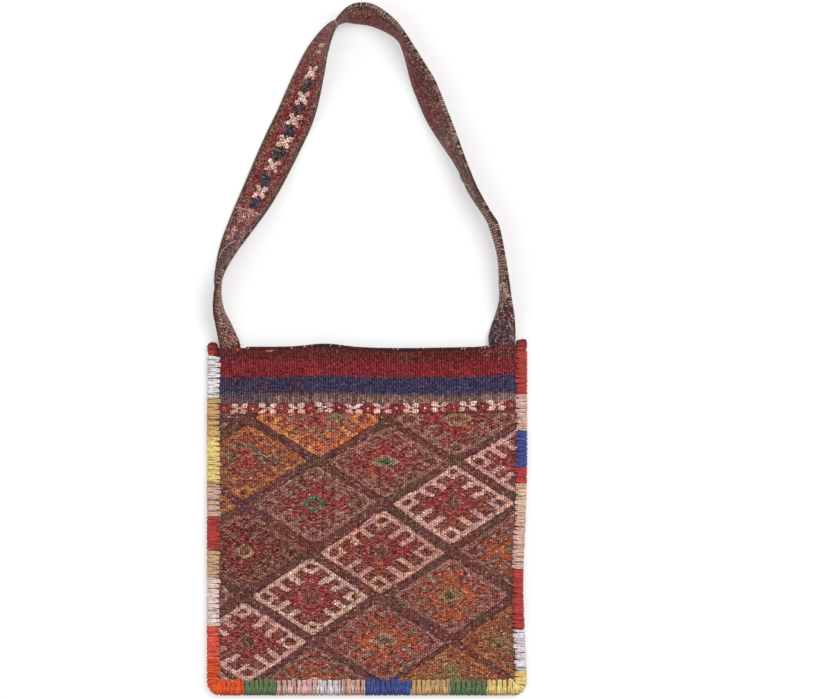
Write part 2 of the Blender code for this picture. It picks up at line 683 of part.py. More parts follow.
def strap_sections():
    """The strap's middle surface: for each station a row of points across it, resting where it lies."""
    stations = strap_stations()
    whole = stations[-1][1]
    rows = []
    for k, (place, run) in enumerate(stations):
        before, after = stations[max(k - 1, 0)][0], stations[min(k + 1, len(stations) - 1)][0]
        along = Vector((after.x - before.x, after.y - before.y, 0)).normalized()
        out = Vector((-along.y, along.x, 0))
        roll = math.radians(place.z)
        edge = out * math.cos(roll) - Vector((0, 0, math.sin(roll)))
        face = out * math.sin(roll) + Vector((0, 0, math.cos(roll)))
        free_run = min(run, whole - run) - STRAP_IN_MOUTH
        width = STRAP_END_WIDTH + (STRAP_WIDTH - STRAP_END_WIDTH) * smooth(free_run / STRAP_TAPER)
        cup = STRAP_CUP * abs(math.sin(roll)) * smooth(free_run / STRAP_IN_MOUTH)
        section = [edge * u - face * cup * (1 - (2 * u / width) ** 2) for u in strap_columns(width)]
        lowest = min(point.z for point in section) - STRAP_THICKNESS / 2
        level = max(CLEARANCE - lowest, strap_seat(place.x, place.y, edge, width))
        rows.append([Vector((place.x, place.y, level)) + point for point in section])
    return rows


def strap_columns(width):
    """Places across the strap: its two borders, its field and its middle column of motifs."""
    border = width / 2 - STRAP_BORDER * width / STRAP_WIDTH
    column = MOTIF_COLUMN / 2 * width / STRAP_WIDTH
    return [width / 2, border, column, -column, -border, -width / 2]


def strap_seat(x, y, edge, width):
    """Height of the strap's middle where it lies on the back panel, inside the mouth and just past it."""
    inside = y - settled(x, 0)[1]
    if inside > STRAP_STEP:
        return 0.0
    rise = abs(edge.z) * width / 2
    under = back_bottom(x, min(inside, 0)) + PANEL_THICKNESS
    return under + 2 * CLEARANCE + STRAP_THICKNESS / 2 + rise


def make_strap(bag, collection):
    """The long woven band: a rolled ribbon with a raised column of small motifs on its patterned leg."""
    bm = bmesh.new()
    rows = [[bm.verts.new(point) for point in row] for row in strap_sections()]
    runs = [run - STRAP_IN_MOUTH for _, run in strap_stations()]
    last = len(rows[0]) - 2
    motifs = []
    for k, (near, far) in enumerate(zip(rows, rows[1:])):
        for column in range(last + 1):
            face = bm.faces.new((near[column + 1], near[column], far[column], far[column + 1]))
            face.material_index = 0 if column in (0, last) else 1
            if column == last // 2 and MOTIF_START < runs[k] < MOTIF_END:
                face.material_index = 2 + k % 2
                motifs.append(face)
    bmesh.ops.inset_individual(bm, faces=motifs, thickness=MOTIF_INSET, depth=MOTIF_RELIEF)
    yarns = ["strap_border", "strap_brown", "cream", "navy"]
    strap = add_object("strap", mesh_of(bm), yarns, bag, collection)
    shell = strap.modifiers.new("band thickness", "SOLIDIFY")
    shell.thickness = STRAP_THICKNESS
    shell.offset = 0
    return strap


def make_tack(name, rows, bag, collection):
    """Thread that sews a strap end down inside the mouth: a zigzag on the strap's upper face."""
    curve = bpy.data.curves.new(name, "CURVE")
    curve.dimensions = "3D"
    curve.bevel_depth = TACK_DIAMETER / 2
    curve.bevel_resolution = 1
    curve.use_fill_caps = True
    spline = curve.splines.new("POLY")
    spline.points.add(TACK_TURNS)
    end, next_row = rows[0], rows[1]
    lift = STRAP_THICKNESS / 2 + 2 * CLEARANCE + TACK_DIAMETER / 2
    for k in range(TACK_TURNS + 1):
        across = (1 + 2 * k / TACK_TURNS) / 4
        start, middle = end[0].lerp(end[-1], across), next_row[0].lerp(next_row[-1], across)
        along = (middle - start).normalized()
        face = (next_row[-1] - next_row[0]).cross(along).normalized()
        if face.z < 0:
            face.negate()
        place = middle + along * (TACK_DEPTH / 2 * (-1) ** k) + face * lift
        spline.points[k].co = (*place, 1)
    curve.materials.append(material("tack_orange"))
    tack = bpy.data.objects.new(name, curve)
    tack.parent = bag
    collection.objects.link(tack)
    return tack


def centre_on_footprint(bag, collection):
    """Moves the whole bag so that the origin is the middle of its footprint, on the surface below."""
    bpy.context.view_layer.update()
    graph = bpy.context.evaluated_depsgraph_get()
    corners = []
    for piece in collection.objects:
        if piece.type == "EMPTY":
            continue
        made = piece.evaluated_get(graph).to_mesh()
        corners += [piece.matrix_world @ vert.co for vert in made.vertices]
        piece.evaluated_get(graph).to_mesh_clear()
    for axis in (0, 1):
        values = [corner[axis] for corner in corners]
        bag.location[axis] = -(min(values) + max(values)) / 2
    bag.location.z = -min(corner.z for corner in corners)


def main():
    """Clears the scene and builds the bag."""
    for item in list(bpy.data.objects):
        bpy.data.objects.remove(item, do_unlink=True)
    collection = bpy.data.collections.new("kilim_bag")
    cutters = bpy.data.collections.new("kilim_bag_cutters")
    for made in (collection, cutters):
        bpy.context.scene.collection.children.link(made)
    bag = bpy.data.objects.new("bag", None)
    collection.objects.link(bag)
    make_front_panel(bag, collection)
    make_back_panel(bag, collection)
    make_binding(bag, collection)
    into = (bag, collection, cutters)
    make_binding_end("corner_knob", -1, KNOB_RISE, KNOB_BELOW, 0.0, "dark_red", *into)
    make_binding_end("corner_tip", 1, TIP_RISE, TIP_BELOW, TIP_TAPER, "dark_brown", *into)
    make_overcast("mouth_overcast_front", front_mouth_level, "dark_brown", bag, collection)
    make_overcast("mouth_overcast_back", back_mouth_level, "dark_brown", bag, collection)
    make_strap(bag, collection)
    rows = strap_sections()
    make_tack("strap_tack_left", rows, bag, collection)
    make_tack("strap_tack_right", rows[::-1], bag, collection)
    centre_on_footprint(bag, collection)


main()
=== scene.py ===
"""The looks of a flat-woven kilim shoulder bag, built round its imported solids.

The front cloth is a grid of stitches, each in its own yarn colour. The seam is wrapped with separate
turns of yarn, and the strap is a woven ribbon with whipped edges. Lengths are in metres. Shapes are
made in the bag's own frame, where y = 0 is the mouth line, and then moved by BAG_Y.
"""

import math

import bpy
import numpy as np
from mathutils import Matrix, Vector


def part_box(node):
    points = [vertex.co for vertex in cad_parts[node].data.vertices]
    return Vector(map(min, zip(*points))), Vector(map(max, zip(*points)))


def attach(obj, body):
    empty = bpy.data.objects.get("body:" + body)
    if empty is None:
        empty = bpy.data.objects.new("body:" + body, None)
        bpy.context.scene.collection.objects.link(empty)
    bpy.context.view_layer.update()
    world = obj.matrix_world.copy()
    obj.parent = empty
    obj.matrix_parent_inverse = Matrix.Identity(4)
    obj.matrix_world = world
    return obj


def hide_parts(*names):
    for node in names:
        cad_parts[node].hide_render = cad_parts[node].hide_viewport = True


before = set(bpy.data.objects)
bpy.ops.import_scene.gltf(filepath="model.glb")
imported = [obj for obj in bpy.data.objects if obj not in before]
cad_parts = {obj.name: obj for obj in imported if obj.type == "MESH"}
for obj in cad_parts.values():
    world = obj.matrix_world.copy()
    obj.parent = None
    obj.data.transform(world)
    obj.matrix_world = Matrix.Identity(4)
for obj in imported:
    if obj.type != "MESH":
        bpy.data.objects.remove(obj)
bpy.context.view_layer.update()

# Sizes of the bag
BAG_WIDTH = 0.300
BAG_HEIGHT = 0.325
CORNER_RADIUS = 0.013
CLOTH = 0.0022
CLEARANCE = 0.0003
FRONT_CROWN = 0.0075
CROWN_RUN = 0.0045
BACK_RUN = 0.006
MOUTH_CURL = 0.0014
MOUTH_CURL_RUN = 0.014
BINDING_WIDTH = 0.0115
BINDING_WALL = 0.0022
BINDING_FULLNESS = 2.6
SEAM_MARGIN = 0.0030
WRAP_RIDGE = 0.0003
KNOB_BELOW = 0.0078
TIP_BELOW = 0.0050
OVERCAST_DEPTH = 0.0032
STRAP_WIDTH = 0.035
STRAP_END_WIDTH = 0.021
STRAP_LEFT_END_WIDTH = 0.0188
STRAP_RIGHT_FLARE = 0.0040
STRAP_TAPER = 0.090
STRAP_THICKNESS = 0.0022
STRAP_CUP = 0.0035
STRAP_IN_MOUTH = 0.022
STRAP_SIDE_GAP = 0.0035
STRAP_STEP = 0.011
STRAP_STITCH = 0.0026
STRAP_CELLS = 20

# How the bag has settled: depth, height and reach of its waist, and the waves of its mouth
WAIST = (0.0037, -0.222, 0.062)
RIPPLES = ((0.0030, -0.039, 0.022), (-0.0012, 0.036, 0.050))
MOUTH_RISE = (0.0042, 0.099, 0.036)
RIPPLE_FADE = 0.035

# Radii of the yarns that are laid out one by one, and how far inside its solid a tack's thread runs
WRAP_YARN = 0.00071
MOUTH_YARN = 0.00066
STRAP_EDGE_YARN = 0.00060
LOOSE_THREAD = 0.00042
TACK_THREAD = 0.0005
TACK_MARGIN = 0.0006

# The strap's route: x, y and the roll of its patterned face in degrees
STRAP_ROUTE = (
    (-0.1279, 0.001, 169), (-0.1297, 0.008, 148), (-0.1315, 0.014, 135), (-0.1345, 0.023, 120),
    (-0.1381, 0.033, 106), (-0.1401, 0.044, 94), (-0.1404, 0.056, 85), (-0.1382, 0.069, 77),
    (-0.1285, 0.093, 60), (-0.1158, 0.117, 44), (-0.0992, 0.148, 24), (-0.0780, 0.194, 4),
    (-0.0661, 0.219, 12), (-0.0543, 0.2525, 37), (-0.0456, 0.277, 55), (-0.0333, 0.2995, 75),
    (-0.0237, 0.307, 91), (-0.0113, 0.3105, 110), (0.0018, 0.31, 114), (0.0137, 0.3047, 109),
    (0.0246, 0.2975, 103), (0.0335, 0.2885, 97), (0.0392, 0.277, 102), (0.0492, 0.253, 118),
    (0.0548, 0.241, 123), (0.0648, 0.217, 122), (0.0768, 0.193, 112), (0.0887, 0.17, 100),
    (0.0997, 0.146, 97), (0.1137, 0.124, 92), (0.1194, 0.112, 96), (0.1262, 0.086, 92),
    (0.1284, 0.06, 99), (0.1292, 0.045, 105), (0.1284, 0.029, 125), (0.1267, 0.016, 150),
    (0.1257, 0.006, 175),
)

# Along the strap's patterned face, outside the mouth: where its left end's pinkish bars stop, its
# plain stretch, its mottled stretch, the navy spot and the last, small figure; where the crossed
# figures stand, and how far beside the strap's middle
BARS_END = 0.055
PLAIN_END = 0.101
MOTTLED_END = 0.138
NAVY_SPOT = 0.1440
LAST_FIGURE = 0.3006
FIGURES = (0.156, 0.1834, 0.2081, 0.2303, 0.252, 0.2765)
FIGURES_U = -0.001

# Along its plain face: where the faded stretch starts and the ladder of pale rungs, and how far from
# the right end the ladder stops, the speckled stretch starts and the dark end starts
FADED_START = 0.475
LADDER_START = 0.575
LADDER_STOP = 0.036
SPECKLED_STOP = 0.062
DARK_STOP = 0.020

# How the red, green and blue of the strap's plain face stand to their yarns' own
STRAP_BACK_TONE = np.array((1.04, 1.00, 0.97))

# Yarn lengths of the binding, from the left of the mouth, round the bottom, to the right
BINDING_YARNS = (
    ("white", 0.0393), ("olive_tan", 0.0354), ("yellow", 0.0447), ("pink_tan", 0.0299),
    ("red", 0.0317), ("tan", 0.0261), ("dirty_white", 0.0447), ("vermilion", 0.0317),
    ("orange", 0.0540), ("green", 0.0308), ("pink", 0.0382), ("lavender_white", 0.0224),
    ("pink_beige", 0.0223), ("blue", 0.0429), ("olive_tan", 0.0364), ("green", 0.0344),
    ("yellow", 0.0476), ("lavender_white", 0.0382), ("red", 0.0559), ("pink_cream", 0.0400),
    ("cream", 0.0402), ("red", 0.0149), ("blue", 0.0344), ("pink_cream", 0.0327), ("red", 0.0396),
)

# How the red, green and blue of the wrapped yarn stand to its name's own
BINDING_TONE = np.array((1.08, 1.12, 1.15))

# Distance of the wrapping's turns along the straight seams and in the corners, and how many start
# close together on the front cloth
WRAP_PITCH = 0.00116
CORNER_WRAP_PITCH = 0.00074
WRAP_GROUP = 4

# How far a turn leans, how far it reaches onto the front cloth at least and how much further at
# most, how far onto the back cloth, and how far inside the binding's section it and its core lie
WRAP_LEAN = 0.00045
WRAP_REACH = (0.0003, 0.0018)
UNDER_REACH = (0.0002, 0.0012)
WRAP_INSET = 0.00054
CORE_INSET = (0.0009, 0.0010)

# Where a turn of the wrapping passes over the binding's section, from its inner to its outer edge
WRAP_SHARES = (-0.80, -0.45, 0.0, 0.42, 0.74, 0.93, 0.995)

# How much further onto the cloth the wrapping reaches along the bottom, and how much less on the right
BOTTOM_REACH = 0.0038
RIGHT_DRAW = 0.0021

# Yarns wound so closely that the painted shade between their turns is lighter
DENSE_YARNS = ("red", "vermilion", "orange", "blue")

# The binding's ends at the mouth: piece, node, side, how far up and down they reach, how round they
# are, and slot. Their yarns stand from the lower end to the top
BINDING_ENDS = (
    ("knob", "corner_knob", -1, 0.0056, 0.0090, 0.8, "yarn_dark_red"),
    ("tip", "corner_tip", 1, 0.0042, 0.0060, 0.35, "yarn_dark_brown"),
)
BINDING_END_YARNS = ("red", "dark_red", "maroon")

# Weave of the front cloth
RIB_PITCH = 0.00225
WEFT_PITCH = 0.0009
STITCH_WIDTH = 0.0021
STITCH_HEIGHT = 0.00138
CLOTH_REACH = 0.141
CLOTH_BOTTOM = -0.318
DIAMOND_RISE = 0.0010
STITCH_RISE = 0.0006
RIB_RISE = 0.00055
SWELL = 0.0010
RELIEF_RUN = 0.002
STRIPES = (("maroon", -0.0118), ("madder", -0.0270), ("navy", -0.0422), ("grey_brown", -0.0517))
STRIPES_BOTTOM = -0.0517
BORDER_BOTTOM = -0.0610
FIGURE_PITCH = 0.0267
FIGURE_Y = -0.0562
FLOAT_HEIGHT = 0.0009

# The border's flowers: where their eight red floats stand round the middle
FLOWER_FLOATS = (
    (-1, 0.9), (1, 1.0), (-1.1, -0.9), (1.1, -0.9), (0, 1.6), (0, -1.7), (-2.0, 0), (2.0, 0),
)

# Stripes of the unseen back cloth, and how wide they are
BACK_STRIPES = ("maroon", "navy", "grey_brown")
BACK_STRIPE = 0.040

# The diamond lattice by rows from the top: the row's number, height of its middles, where its middle
# column stands, and half the distance between diamonds in the row
LATTICE_ROWS = (
    (4, -0.0247, 0.0185, 0.0657), (3, -0.0662, 0.0182, 0.0657), (2, -0.1062, 0.0175, 0.0649),
    (1, -0.1449, 0.0158, 0.0652), (0, -0.1883, 0.0140, 0.0643), (-1, -0.2302, 0.0128, 0.0645),
    (-2, -0.2728, 0.0152, 0.0641), (-3, -0.3141, 0.0142, 0.0645), (-4, -0.3556, 0.0142, 0.0645),
)
# Places where the woven lattice sways aside: their middle, their reach, and how far across and up
SWAYS = (
    (-0.1120, -0.2900, 0.034, 0.0060, 0.0), (-0.1146, -0.1449, 0.018, 0.0, -0.0035),
    (0.0824, -0.1120, 0.016, -0.0008, 0.0028),
)
BAND_SHARE = 0.094
OUTLINE_SHARE = 0.113
BLUNTNESS = 22
EYE_ACROSS, EYE_UP = 0.675, 0.70
EYE_SIZE = (0.215, 0.200)
EYE_DOT = (0.098, 0.092)
TOOTH_OFFSET = 0.165
TOOTH_HALF = 0.067
TOOTH_REACH = 0.43
POCKET_MARGIN = 0.08
# How far out from the drawn lines the painted shade beside them reaches
LINE_SHADE_REACH = 0.036
CENTRE_DOT = 0.45
RING_ROUNDNESS = 1.15
STROKE_SLOPE = 0.42
STROKE_STITCHES = 2.5
STROKE_SPREAD = 0.34
OPEN_ACROSS = 0.66
RIB_ACROSS = 0.92
RIB_ROWS = 0.4

# How much faster green and blue fade than red where this wool is darker: in its painted shade, which
# is dark red in the gaps between its stitches, and in its darker stitches
DEEPENING = np.array((1.0, 1.30, 1.36))

# How the red, green and blue of the diamonds' fields and of the bands stand to their yarns' own
FIELD_TONE = np.array((0.97, 0.91, 0.87))
BAND_TONE = np.array((0.70, 0.63, 0.59))

# How bright the drawn lines are, by the diagonal
LINE_TONES = {-3: 0.90, -2: 1.08, -1: 1.26, 0: 1.14, 1: 1.04, 2: 0.76, 3: 0.90}

# The dark diamond at the left edge, and how much paler its lines are than its field's tone makes them
FAINT_DIAMOND = (-1, -1)
FAINT_LINE_LIFT = np.array((1.20, 1.75, 1.85))

# How single diamonds' red, green and blue stand to the others', by their two numbers along the
# slanted directions
DIAMOND_TONES = {
    (1, -2): (1.36, 1.28, 1.24), (0, -2): (0.90, 0.90, 0.82), (-1, -1): (0.62, 0.31, 0.25),
    (0, -1): (0.95, 0.94, 0.97), (1, -1): (0.98, 0.86, 0.78), (0, 0): (0.94, 0.83, 0.76),
    (-1, 0): (1.00, 1.10, 1.02), (0, 1): (1.13, 1.10, 1.06), (-1, 1): (1.07, 0.96, 0.99),
    (0, 2): (0.94, 0.94, 0.94), (-1, 2): (1.04, 1.20, 1.10),
}

# How far single diamonds' figures stand off their places, across and up, by the diamonds' two numbers
FIGURE_SHIFTS = {
    (1, 0): (-0.014, 0.037), (0, 0): (-0.036, -0.040), (-1, 0): (-0.016, -0.040),
    (-2, 0): (-0.050, -0.010), (1, -1): (-0.008, 0.010), (0, -1): (0.008, 0.015),
    (-1, -1): (0.016, -0.037), (-1, 1): (0.010, 0.020),
}

# How the sides of single diamonds stray: how far in each side's outline is pulled, and how far its
# teeth are shifted. The sides are the upper right, lower left, lower right and upper left one
DIAMOND_SIDES = {
    (1, 0): ((0.02, 0.01, 0.04, 0.02), (0.00, 0.03, -0.06, 0.00)),
    (0, 0): ((0.05, -0.06, -0.06, 0.05), (-0.01, 0.06, -0.03, 0.04)),
    (-1, 0): ((0.09, 0.01, 0.05, 0.05), (0.01, -0.07, 0.07, 0.01)),
    (2, 0): ((0.00, 0.03, 0.00, 0.01), (0.00, -0.06, 0.00, -0.02)),
    (-2, 0): ((0.05, -0.07, -0.01, 0.06), (0.01, 0.00, -0.03, 0.04)),
    (1, -1): ((0.02, 0.05, 0.02, 0.07), (0.03, 0.03, 0.02, 0.00)),
    (0, -1): ((-0.02, 0.05, 0.02, -0.02), (-0.02, -0.03, -0.03, 0.03)),
    (-1, -1): ((0.00, 0.01, 0.00, 0.02), (-0.07, 0.06, -0.02, 0.03)),
    (2, -1): ((0.00, 0.00, 0.00, 0.00), (0.00, 0.02, 0.03, 0.00)),
    (0, 1): ((0.05, 0.04, 0.05, 0.08), (0.02, -0.10, 0.07, -0.06)),
    (-1, 1): ((0.04, 0.00, -0.06, 0.00), (0.06, -0.10, -0.04, -0.03)),
    (1, 1): ((0.00, 0.00, 0.00, 0.00), (0.00, -0.01, 0.00, 0.08)),
    (0, -2): ((-0.01, 0.03, 0.08, 0.08), (-0.04, 0.09, 0.07, 0.00)),
    (1, -2): ((0.00, 0.06, -0.03, 0.00), (0.00, 0.01, -0.02, 0.00)),
}

# Yarns of the diamonds by the diagonal that they stand on: outline, its patches, field, its patches
# and the pockets between the teeth
DIAMOND_YARNS = {
    -3: ("mauve", "band_purple", "ground", "band_purple", "purple"),
    -2: ("gold", "orange_gold", "rose_brown", "moss", "rust"),
    -1: ("dusty", "dusty_olive", "crimson", "brick", "brown"),
    0: ("bone", "lilac", "brick", "crimson", "brown"),
    1: ("dusty", "dusty_olive", "rust", "amber", "brick"),
    2: ("gold", "orange_gold", "rust", "moss_green", "rust"),
    3: ("dusty", "gold", "rust", "brown", "deep_red"),
}

# Middle ring and dot of single diamonds, by their two numbers along the slanted directions, how
# clearly they stand out, and the ring's half width and height
CENTRE_YARNS = {
    (0, -2): ("pink_red", "crimson", 0.9, 0.16, 0.19),
    (1, -2): ("pink_red", "crimson", 0.9, 0.16, 0.19),
    (0, -1): ("leaf", "crimson", 1.0, 0.175, 0.19),
    (1, -1): ("tan_ring", "leaf", 1.0, 0.22, 0.17),
    (2, -1): ("olive", "rust", 0.8, 0.22, 0.19),
    (-1, -1): ("olive", "crimson", 0.8, 0.16, 0.17),
    (0, 0): ("grey_mauve", "brown", 0.5, 0.19, 0.20),
    (1, 0): ("grey_mauve", "dusty", 0.5, 0.13, 0.26),
    (2, 0): ("crimson", "deep_red", 0.6, 0.18, 0.20),
    (-1, 0): ("grey_mauve", "rust", 0.5, 0.16, 0.22),
    (-2, 0): ("grey_mauve", "brown", 0.8, 0.15, 0.20),
    (0, 1): ("olive", "brown", 0.9, 0.20, 0.17),
    (1, 1): ("leaf", "olive", 0.8, 0.18, 0.20),
    (-1, 1): ("tan_ring", "brown", 0.9, 0.20, 0.19),
    (-2, 1): ("bone", "rose", 0.9, 0.18, 0.20),
    (-1, 2): ("olive", "crimson", 0.9, 0.18, 0.20),
    (0, 2): ("pink_red", "rust", 0.8, 0.18, 0.20),
}

# Places where the weaver took another yarn: their middle, half width and half height, the yarn, and
# how clearly it shows
ODD_PLACES = (
    (0.0224, -0.1100, 0.0035, 0.0017, "leaf", 0.9),
    (0.0755, -0.2153, 0.0070, 0.0042, "amber", 0.7),
    (0.0028, -0.2721, 0.0018, 0.0018, "pale_olive", 0.8),
    (0.1333, -0.1859, 0.0028, 0.0028, "leaf", 0.8),
    (-0.0033, -0.0906, 0.0040, 0.0016, "amber", 0.7),
    (0.0028, -0.1174, 0.0028, 0.0050, "amber", 0.6),
    (0.0127, -0.1286, 0.0050, 0.0020, "purple", 0.7),
    (0.0115, -0.2008, 0.0050, 0.0040, "amber", 0.5),
    (-0.0101, -0.2303, 0.0028, 0.0026, "olive", 0.8),
    (0.0010, -0.1265, 0.0060, 0.0025, "grey_mauve", 0.6),
    (-0.1202, -0.0014, 0.0022, 0.0014, "tack_orange", 0.9),
    (-0.0905, -0.0024, 0.0046, 0.0012, "salmon", 0.6),
    (-0.1235, -0.0910, 0.0080, 0.0030, "leaf", 0.25),
    (-0.1140, -0.2330, 0.0030, 0.0025, "leaf", 0.4),
)

# The mouth's whipping: its pitch, how deep its stitches reach down the cloth, and the middles and
# half widths of the places with more pale turns
MOUTH_PITCH = 0.00145
MOUTH_STITCH_DEPTH = 0.0019
PALE_PLACES = ((0.024, 0.012), (0.079, 0.014), (-0.112, 0.008), (-0.06, 0.012))

# The strap's edge stitches: side, pitch and seed of each edge, and how far in from it they reach;
# and on the worn edge the places where pale yarn shows, their reach and how often it does
STRAP_EDGES = ((-1, 0.0021, 81), (1, 0.0019, 82))
STRAP_EDGE_REACH = 0.0020
WORN_PLACES = ((0.095, 0.022, 0.85), (0.475, 0.045, 0.85), (0.38, 0.05, 0.75), (0.62, 0.05, 0.5))

# Loose threads on the strap: at four places each, how far along, how far across, and how high
LOOSE_THREADS = (
    ((0.1330, 0.1345, 0.1362, 0.1375), (0.98, 0.35, -0.3, -0.95), (0.9, 1.5, 1.4, 0.9)),
    ((0.0840, 0.0920, 0.0995, 0.1060), (0.75, 0.50, 0.15, -0.25), (0.9, 1.7, 1.5, 0.9)),
    ((0.5390, 0.5440, 0.5490, 0.5530), (0.85, 0.30, -0.20, -0.60), (-0.9, -1.5, -1.4, -0.9)),
)

# The stage: where the camera looks down and how wide its view is there, its lens, and each lamp's
# name, place, power and size
VIEW_CENTRE = (0.0387, 0.0009, 0.012)
VIEW_WIDTH = 0.7614
LENS, SENSOR = 100, 36
LAMPS = (("key", (0.9, 0.7, 2.2), 34.0, 1.2), ("fill", (-1.2, -0.6, 2.0), 12.0, 1.6))
FLOOR_REACH = 6
FLOOR_DEPTH = 0.0001
FLOOR_GLOW = 0.4
WORLD_LIGHT = 0.55


def dye(red, green, blue):
    """A yarn colour given as 0-255 screen values, as a linear colour."""
    share = np.array((red, green, blue)) / 255
    return np.where(share <= 0.04045, share / 12.92, ((share + 0.055) / 1.055) ** 2.4)


DYES = {
    "maroon": dye(104, 28, 34), "madder": dye(130, 34, 47), "bright_madder": dye(140, 35, 33),
    "navy": dye(56, 52, 87), "slate": dye(84, 88, 112), "purple": dye(72, 40, 68),
    "grey_brown": dye(84, 64, 72), "tan_dash": dye(186, 148, 136), "ground": dye(104, 56, 54),
    "bone": dye(220, 170, 154), "lilac": dye(206, 156, 152), "pale_olive": dye(198, 164, 132),
    "pale": dye(236, 204, 192), "rose": dye(168, 56, 62), "salmon": dye(206, 128, 116),
    "band_brown": dye(108, 54, 48), "band_olive": dye(88, 64, 48), "band_purple": dye(100, 54, 62),
    "gold": dye(184, 114, 60), "orange_gold": dye(180, 92, 44), "dusty": dye(146, 94, 86),
    "dusty_olive": dye(132, 94, 76), "brick": dye(142, 44, 38), "deep_red": dye(112, 28, 28),
    "crimson": dye(156, 36, 44), "rust": dye(156, 74, 46), "amber": dye(172, 84, 40),
    "mauve": dye(134, 82, 78), "brown": dye(116, 64, 48), "olive": dye(156, 134, 90),
    "leaf": dye(66, 106, 80), "pink_red": dye(176, 62, 60), "tan_ring": dye(160, 126, 98),
    "grey_mauve": dye(126, 80, 72), "dark": dye(58, 28, 26), "strap_brown": dye(122, 68, 60),
    "strap_red": dye(130, 42, 52), "strap_olive": dye(98, 72, 62), "strap_dark": dye(44, 34, 36),
    "strap_navy": dye(46, 40, 62), "strap_pink": dye(224, 182, 172), "strap_gold": dye(176, 124, 88),
    "strap_rust": dye(126, 58, 40), "stitch_light": dye(196, 168, 156),
    "white": dye(240, 230, 232), "olive_tan": dye(210, 170, 116), "yellow": dye(240, 210, 133),
    "pink_tan": dye(216, 178, 158), "red": dye(186, 68, 61), "tan": dye(206, 168, 134),
    "dirty_white": dye(234, 210, 202), "vermilion": dye(226, 92, 76), "orange": dye(234, 90, 43),
    "green": dye(102, 130, 88), "pink": dye(222, 180, 172), "lavender_white": dye(228, 216, 222),
    "pink_beige": dye(212, 174, 156), "blue": dye(71, 82, 148), "pink_cream": dye(220, 180, 164),
    "cream": dye(226, 190, 168), "dark_red": dye(134, 46, 42), "overcast": dye(50, 28, 28),
    "tack_orange": dye(196, 84, 44), "inside": dye(104, 62, 54), "fuzz": dye(255, 214, 196),
    "rose_brown": dye(152, 62, 54), "moss": dye(122, 98, 78), "moss_green": dye(138, 112, 68),
}


def smooth(t):
    """0 before t = 0, 1 after t = 1, with an S-shaped rise between."""
    t = np.clip(t, 0.0, 1.0)
    return t * t * (3 - 2 * t)


def bump(value, middle, reach):
    """1 at the middle, falling away on both sides over about that reach."""
    return np.exp(-(((value - middle) / reach) ** 2))


def settled(x, y):
    """Where points of the flat bag lie once it has settled: the waist and the rippled mouth."""
    depth, middle, reach = WAIST
    waist = depth * bump(y, middle, reach) * (x / BAG_WIDTH + 0.5)
    rise, start, length = MOUTH_RISE
    ripple = rise * smooth((x - start) / length)
    for height, place, width in RIPPLES:
        ripple = ripple + height * bump(x, place, width)
    return x - waist, y + ripple * np.exp(np.minimum(y, 0.0) / RIPPLE_FADE)


def placed(x, y, z):
    """Points of the flat bag at those heights, once it has settled."""
    return np.stack([*settled(x, y), z], axis=-1)


CHANNEL_HALF = 1.5 * CLEARANCE + CLOTH
BINDING_HALF = CHANNEL_HALF + BINDING_WALL
SEAM_HEIGHT = BINDING_HALF + WRAP_RIDGE
INNER_HALF_WIDTH = BAG_WIDTH / 2 - BINDING_WIDTH
INNER_BOTTOM = -(BAG_HEIGHT - BINDING_WIDTH)
PANEL_BOTTOM = -(BAG_HEIGHT - SEAM_MARGIN)
STRAP_BASE_X = INNER_HALF_WIDTH - STRAP_SIDE_GAP - STRAP_END_WIDTH / 2
BAG_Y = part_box("back_panel")[0].y - PANEL_BOTTOM


def front_top(x, y):
    """Height of the front cloth's outer face, before its weave relief."""
    side, bottom = INNER_HALF_WIDTH - abs(x), y - INNER_BOTTOM
    lift = 1 - np.exp(-np.maximum(side, 0) / CROWN_RUN)
    lift = lift * (1 - np.exp(-np.maximum(bottom, 0) / CROWN_RUN))
    return SEAM_HEIGHT + CLEARANCE / 2 + CLOTH + FRONT_CROWN * lift


def back_bottom(x, y):
    """Height of the back cloth's outer face: 0 where it lies flat."""
    drop = smooth((INNER_HALF_WIDTH - abs(x)) / BACK_RUN) * smooth((y - INNER_BOTTOM) / BACK_RUN)
    curl = MOUTH_CURL * smooth((y + MOUTH_CURL_RUN) / (MOUTH_CURL_RUN - OVERCAST_DEPTH)) * drop
    return (SEAM_HEIGHT - CLEARANCE / 2 - CLOTH) * (1 - drop) + curl


def relief_room(x, y):
    """1 where the weave may stand up, 0 in the binding."""
    side, bottom = INNER_HALF_WIDTH - abs(x), y - INNER_BOTTOM
    return smooth(side / RELIEF_RUN) * smooth(bottom / RELIEF_RUN)


def chance(shape, seed):
    """Even random numbers from 0 to 1, the same in each run."""
    return np.random.default_rng(seed).random(shape)


def patches(x, y, size, seed):
    """Soft patches, from 0 to 1, of about that size: coarse random values, smoothly joined."""
    table = chance((64, 64), seed)
    across, up = x / size + 16, y / size + 32
    i, j = np.floor(across).astype(int), np.floor(up).astype(int)
    s, t = smooth(across - i), smooth(up - j)
    near = table[i % 64, j % 64] * (1 - s) + table[(i + 1) % 64, j % 64] * s
    far = table[i % 64, (j + 1) % 64] * (1 - s) + table[(i + 1) % 64, (j + 1) % 64] * s
    return near * (1 - t) + far * t


def swell(x, y):
    """The front cloth's slow rise and fall."""
    return (patches(x, y, 0.035, 23) - 0.5) * SWELL * relief_room(x, y)


def dyed(yarn):
    """A yarn's colour by its name, or colours as they are."""
    return DYES[yarn] if isinstance(yarn, str) else yarn


def mix(colours, *layers):
    """Colours with layers of others over them.

    A layer is a yarn's name or colours, and the share by which it covers those below: a number, or
    one for each place. Where the share is 1 or True, only the layer shows.
    """
    colours = dyed(colours)
    for other, share in layers:
        share = np.asarray(share)[..., None]
        colours = colours * (1 - share) + dyed(other) * share
    return colours


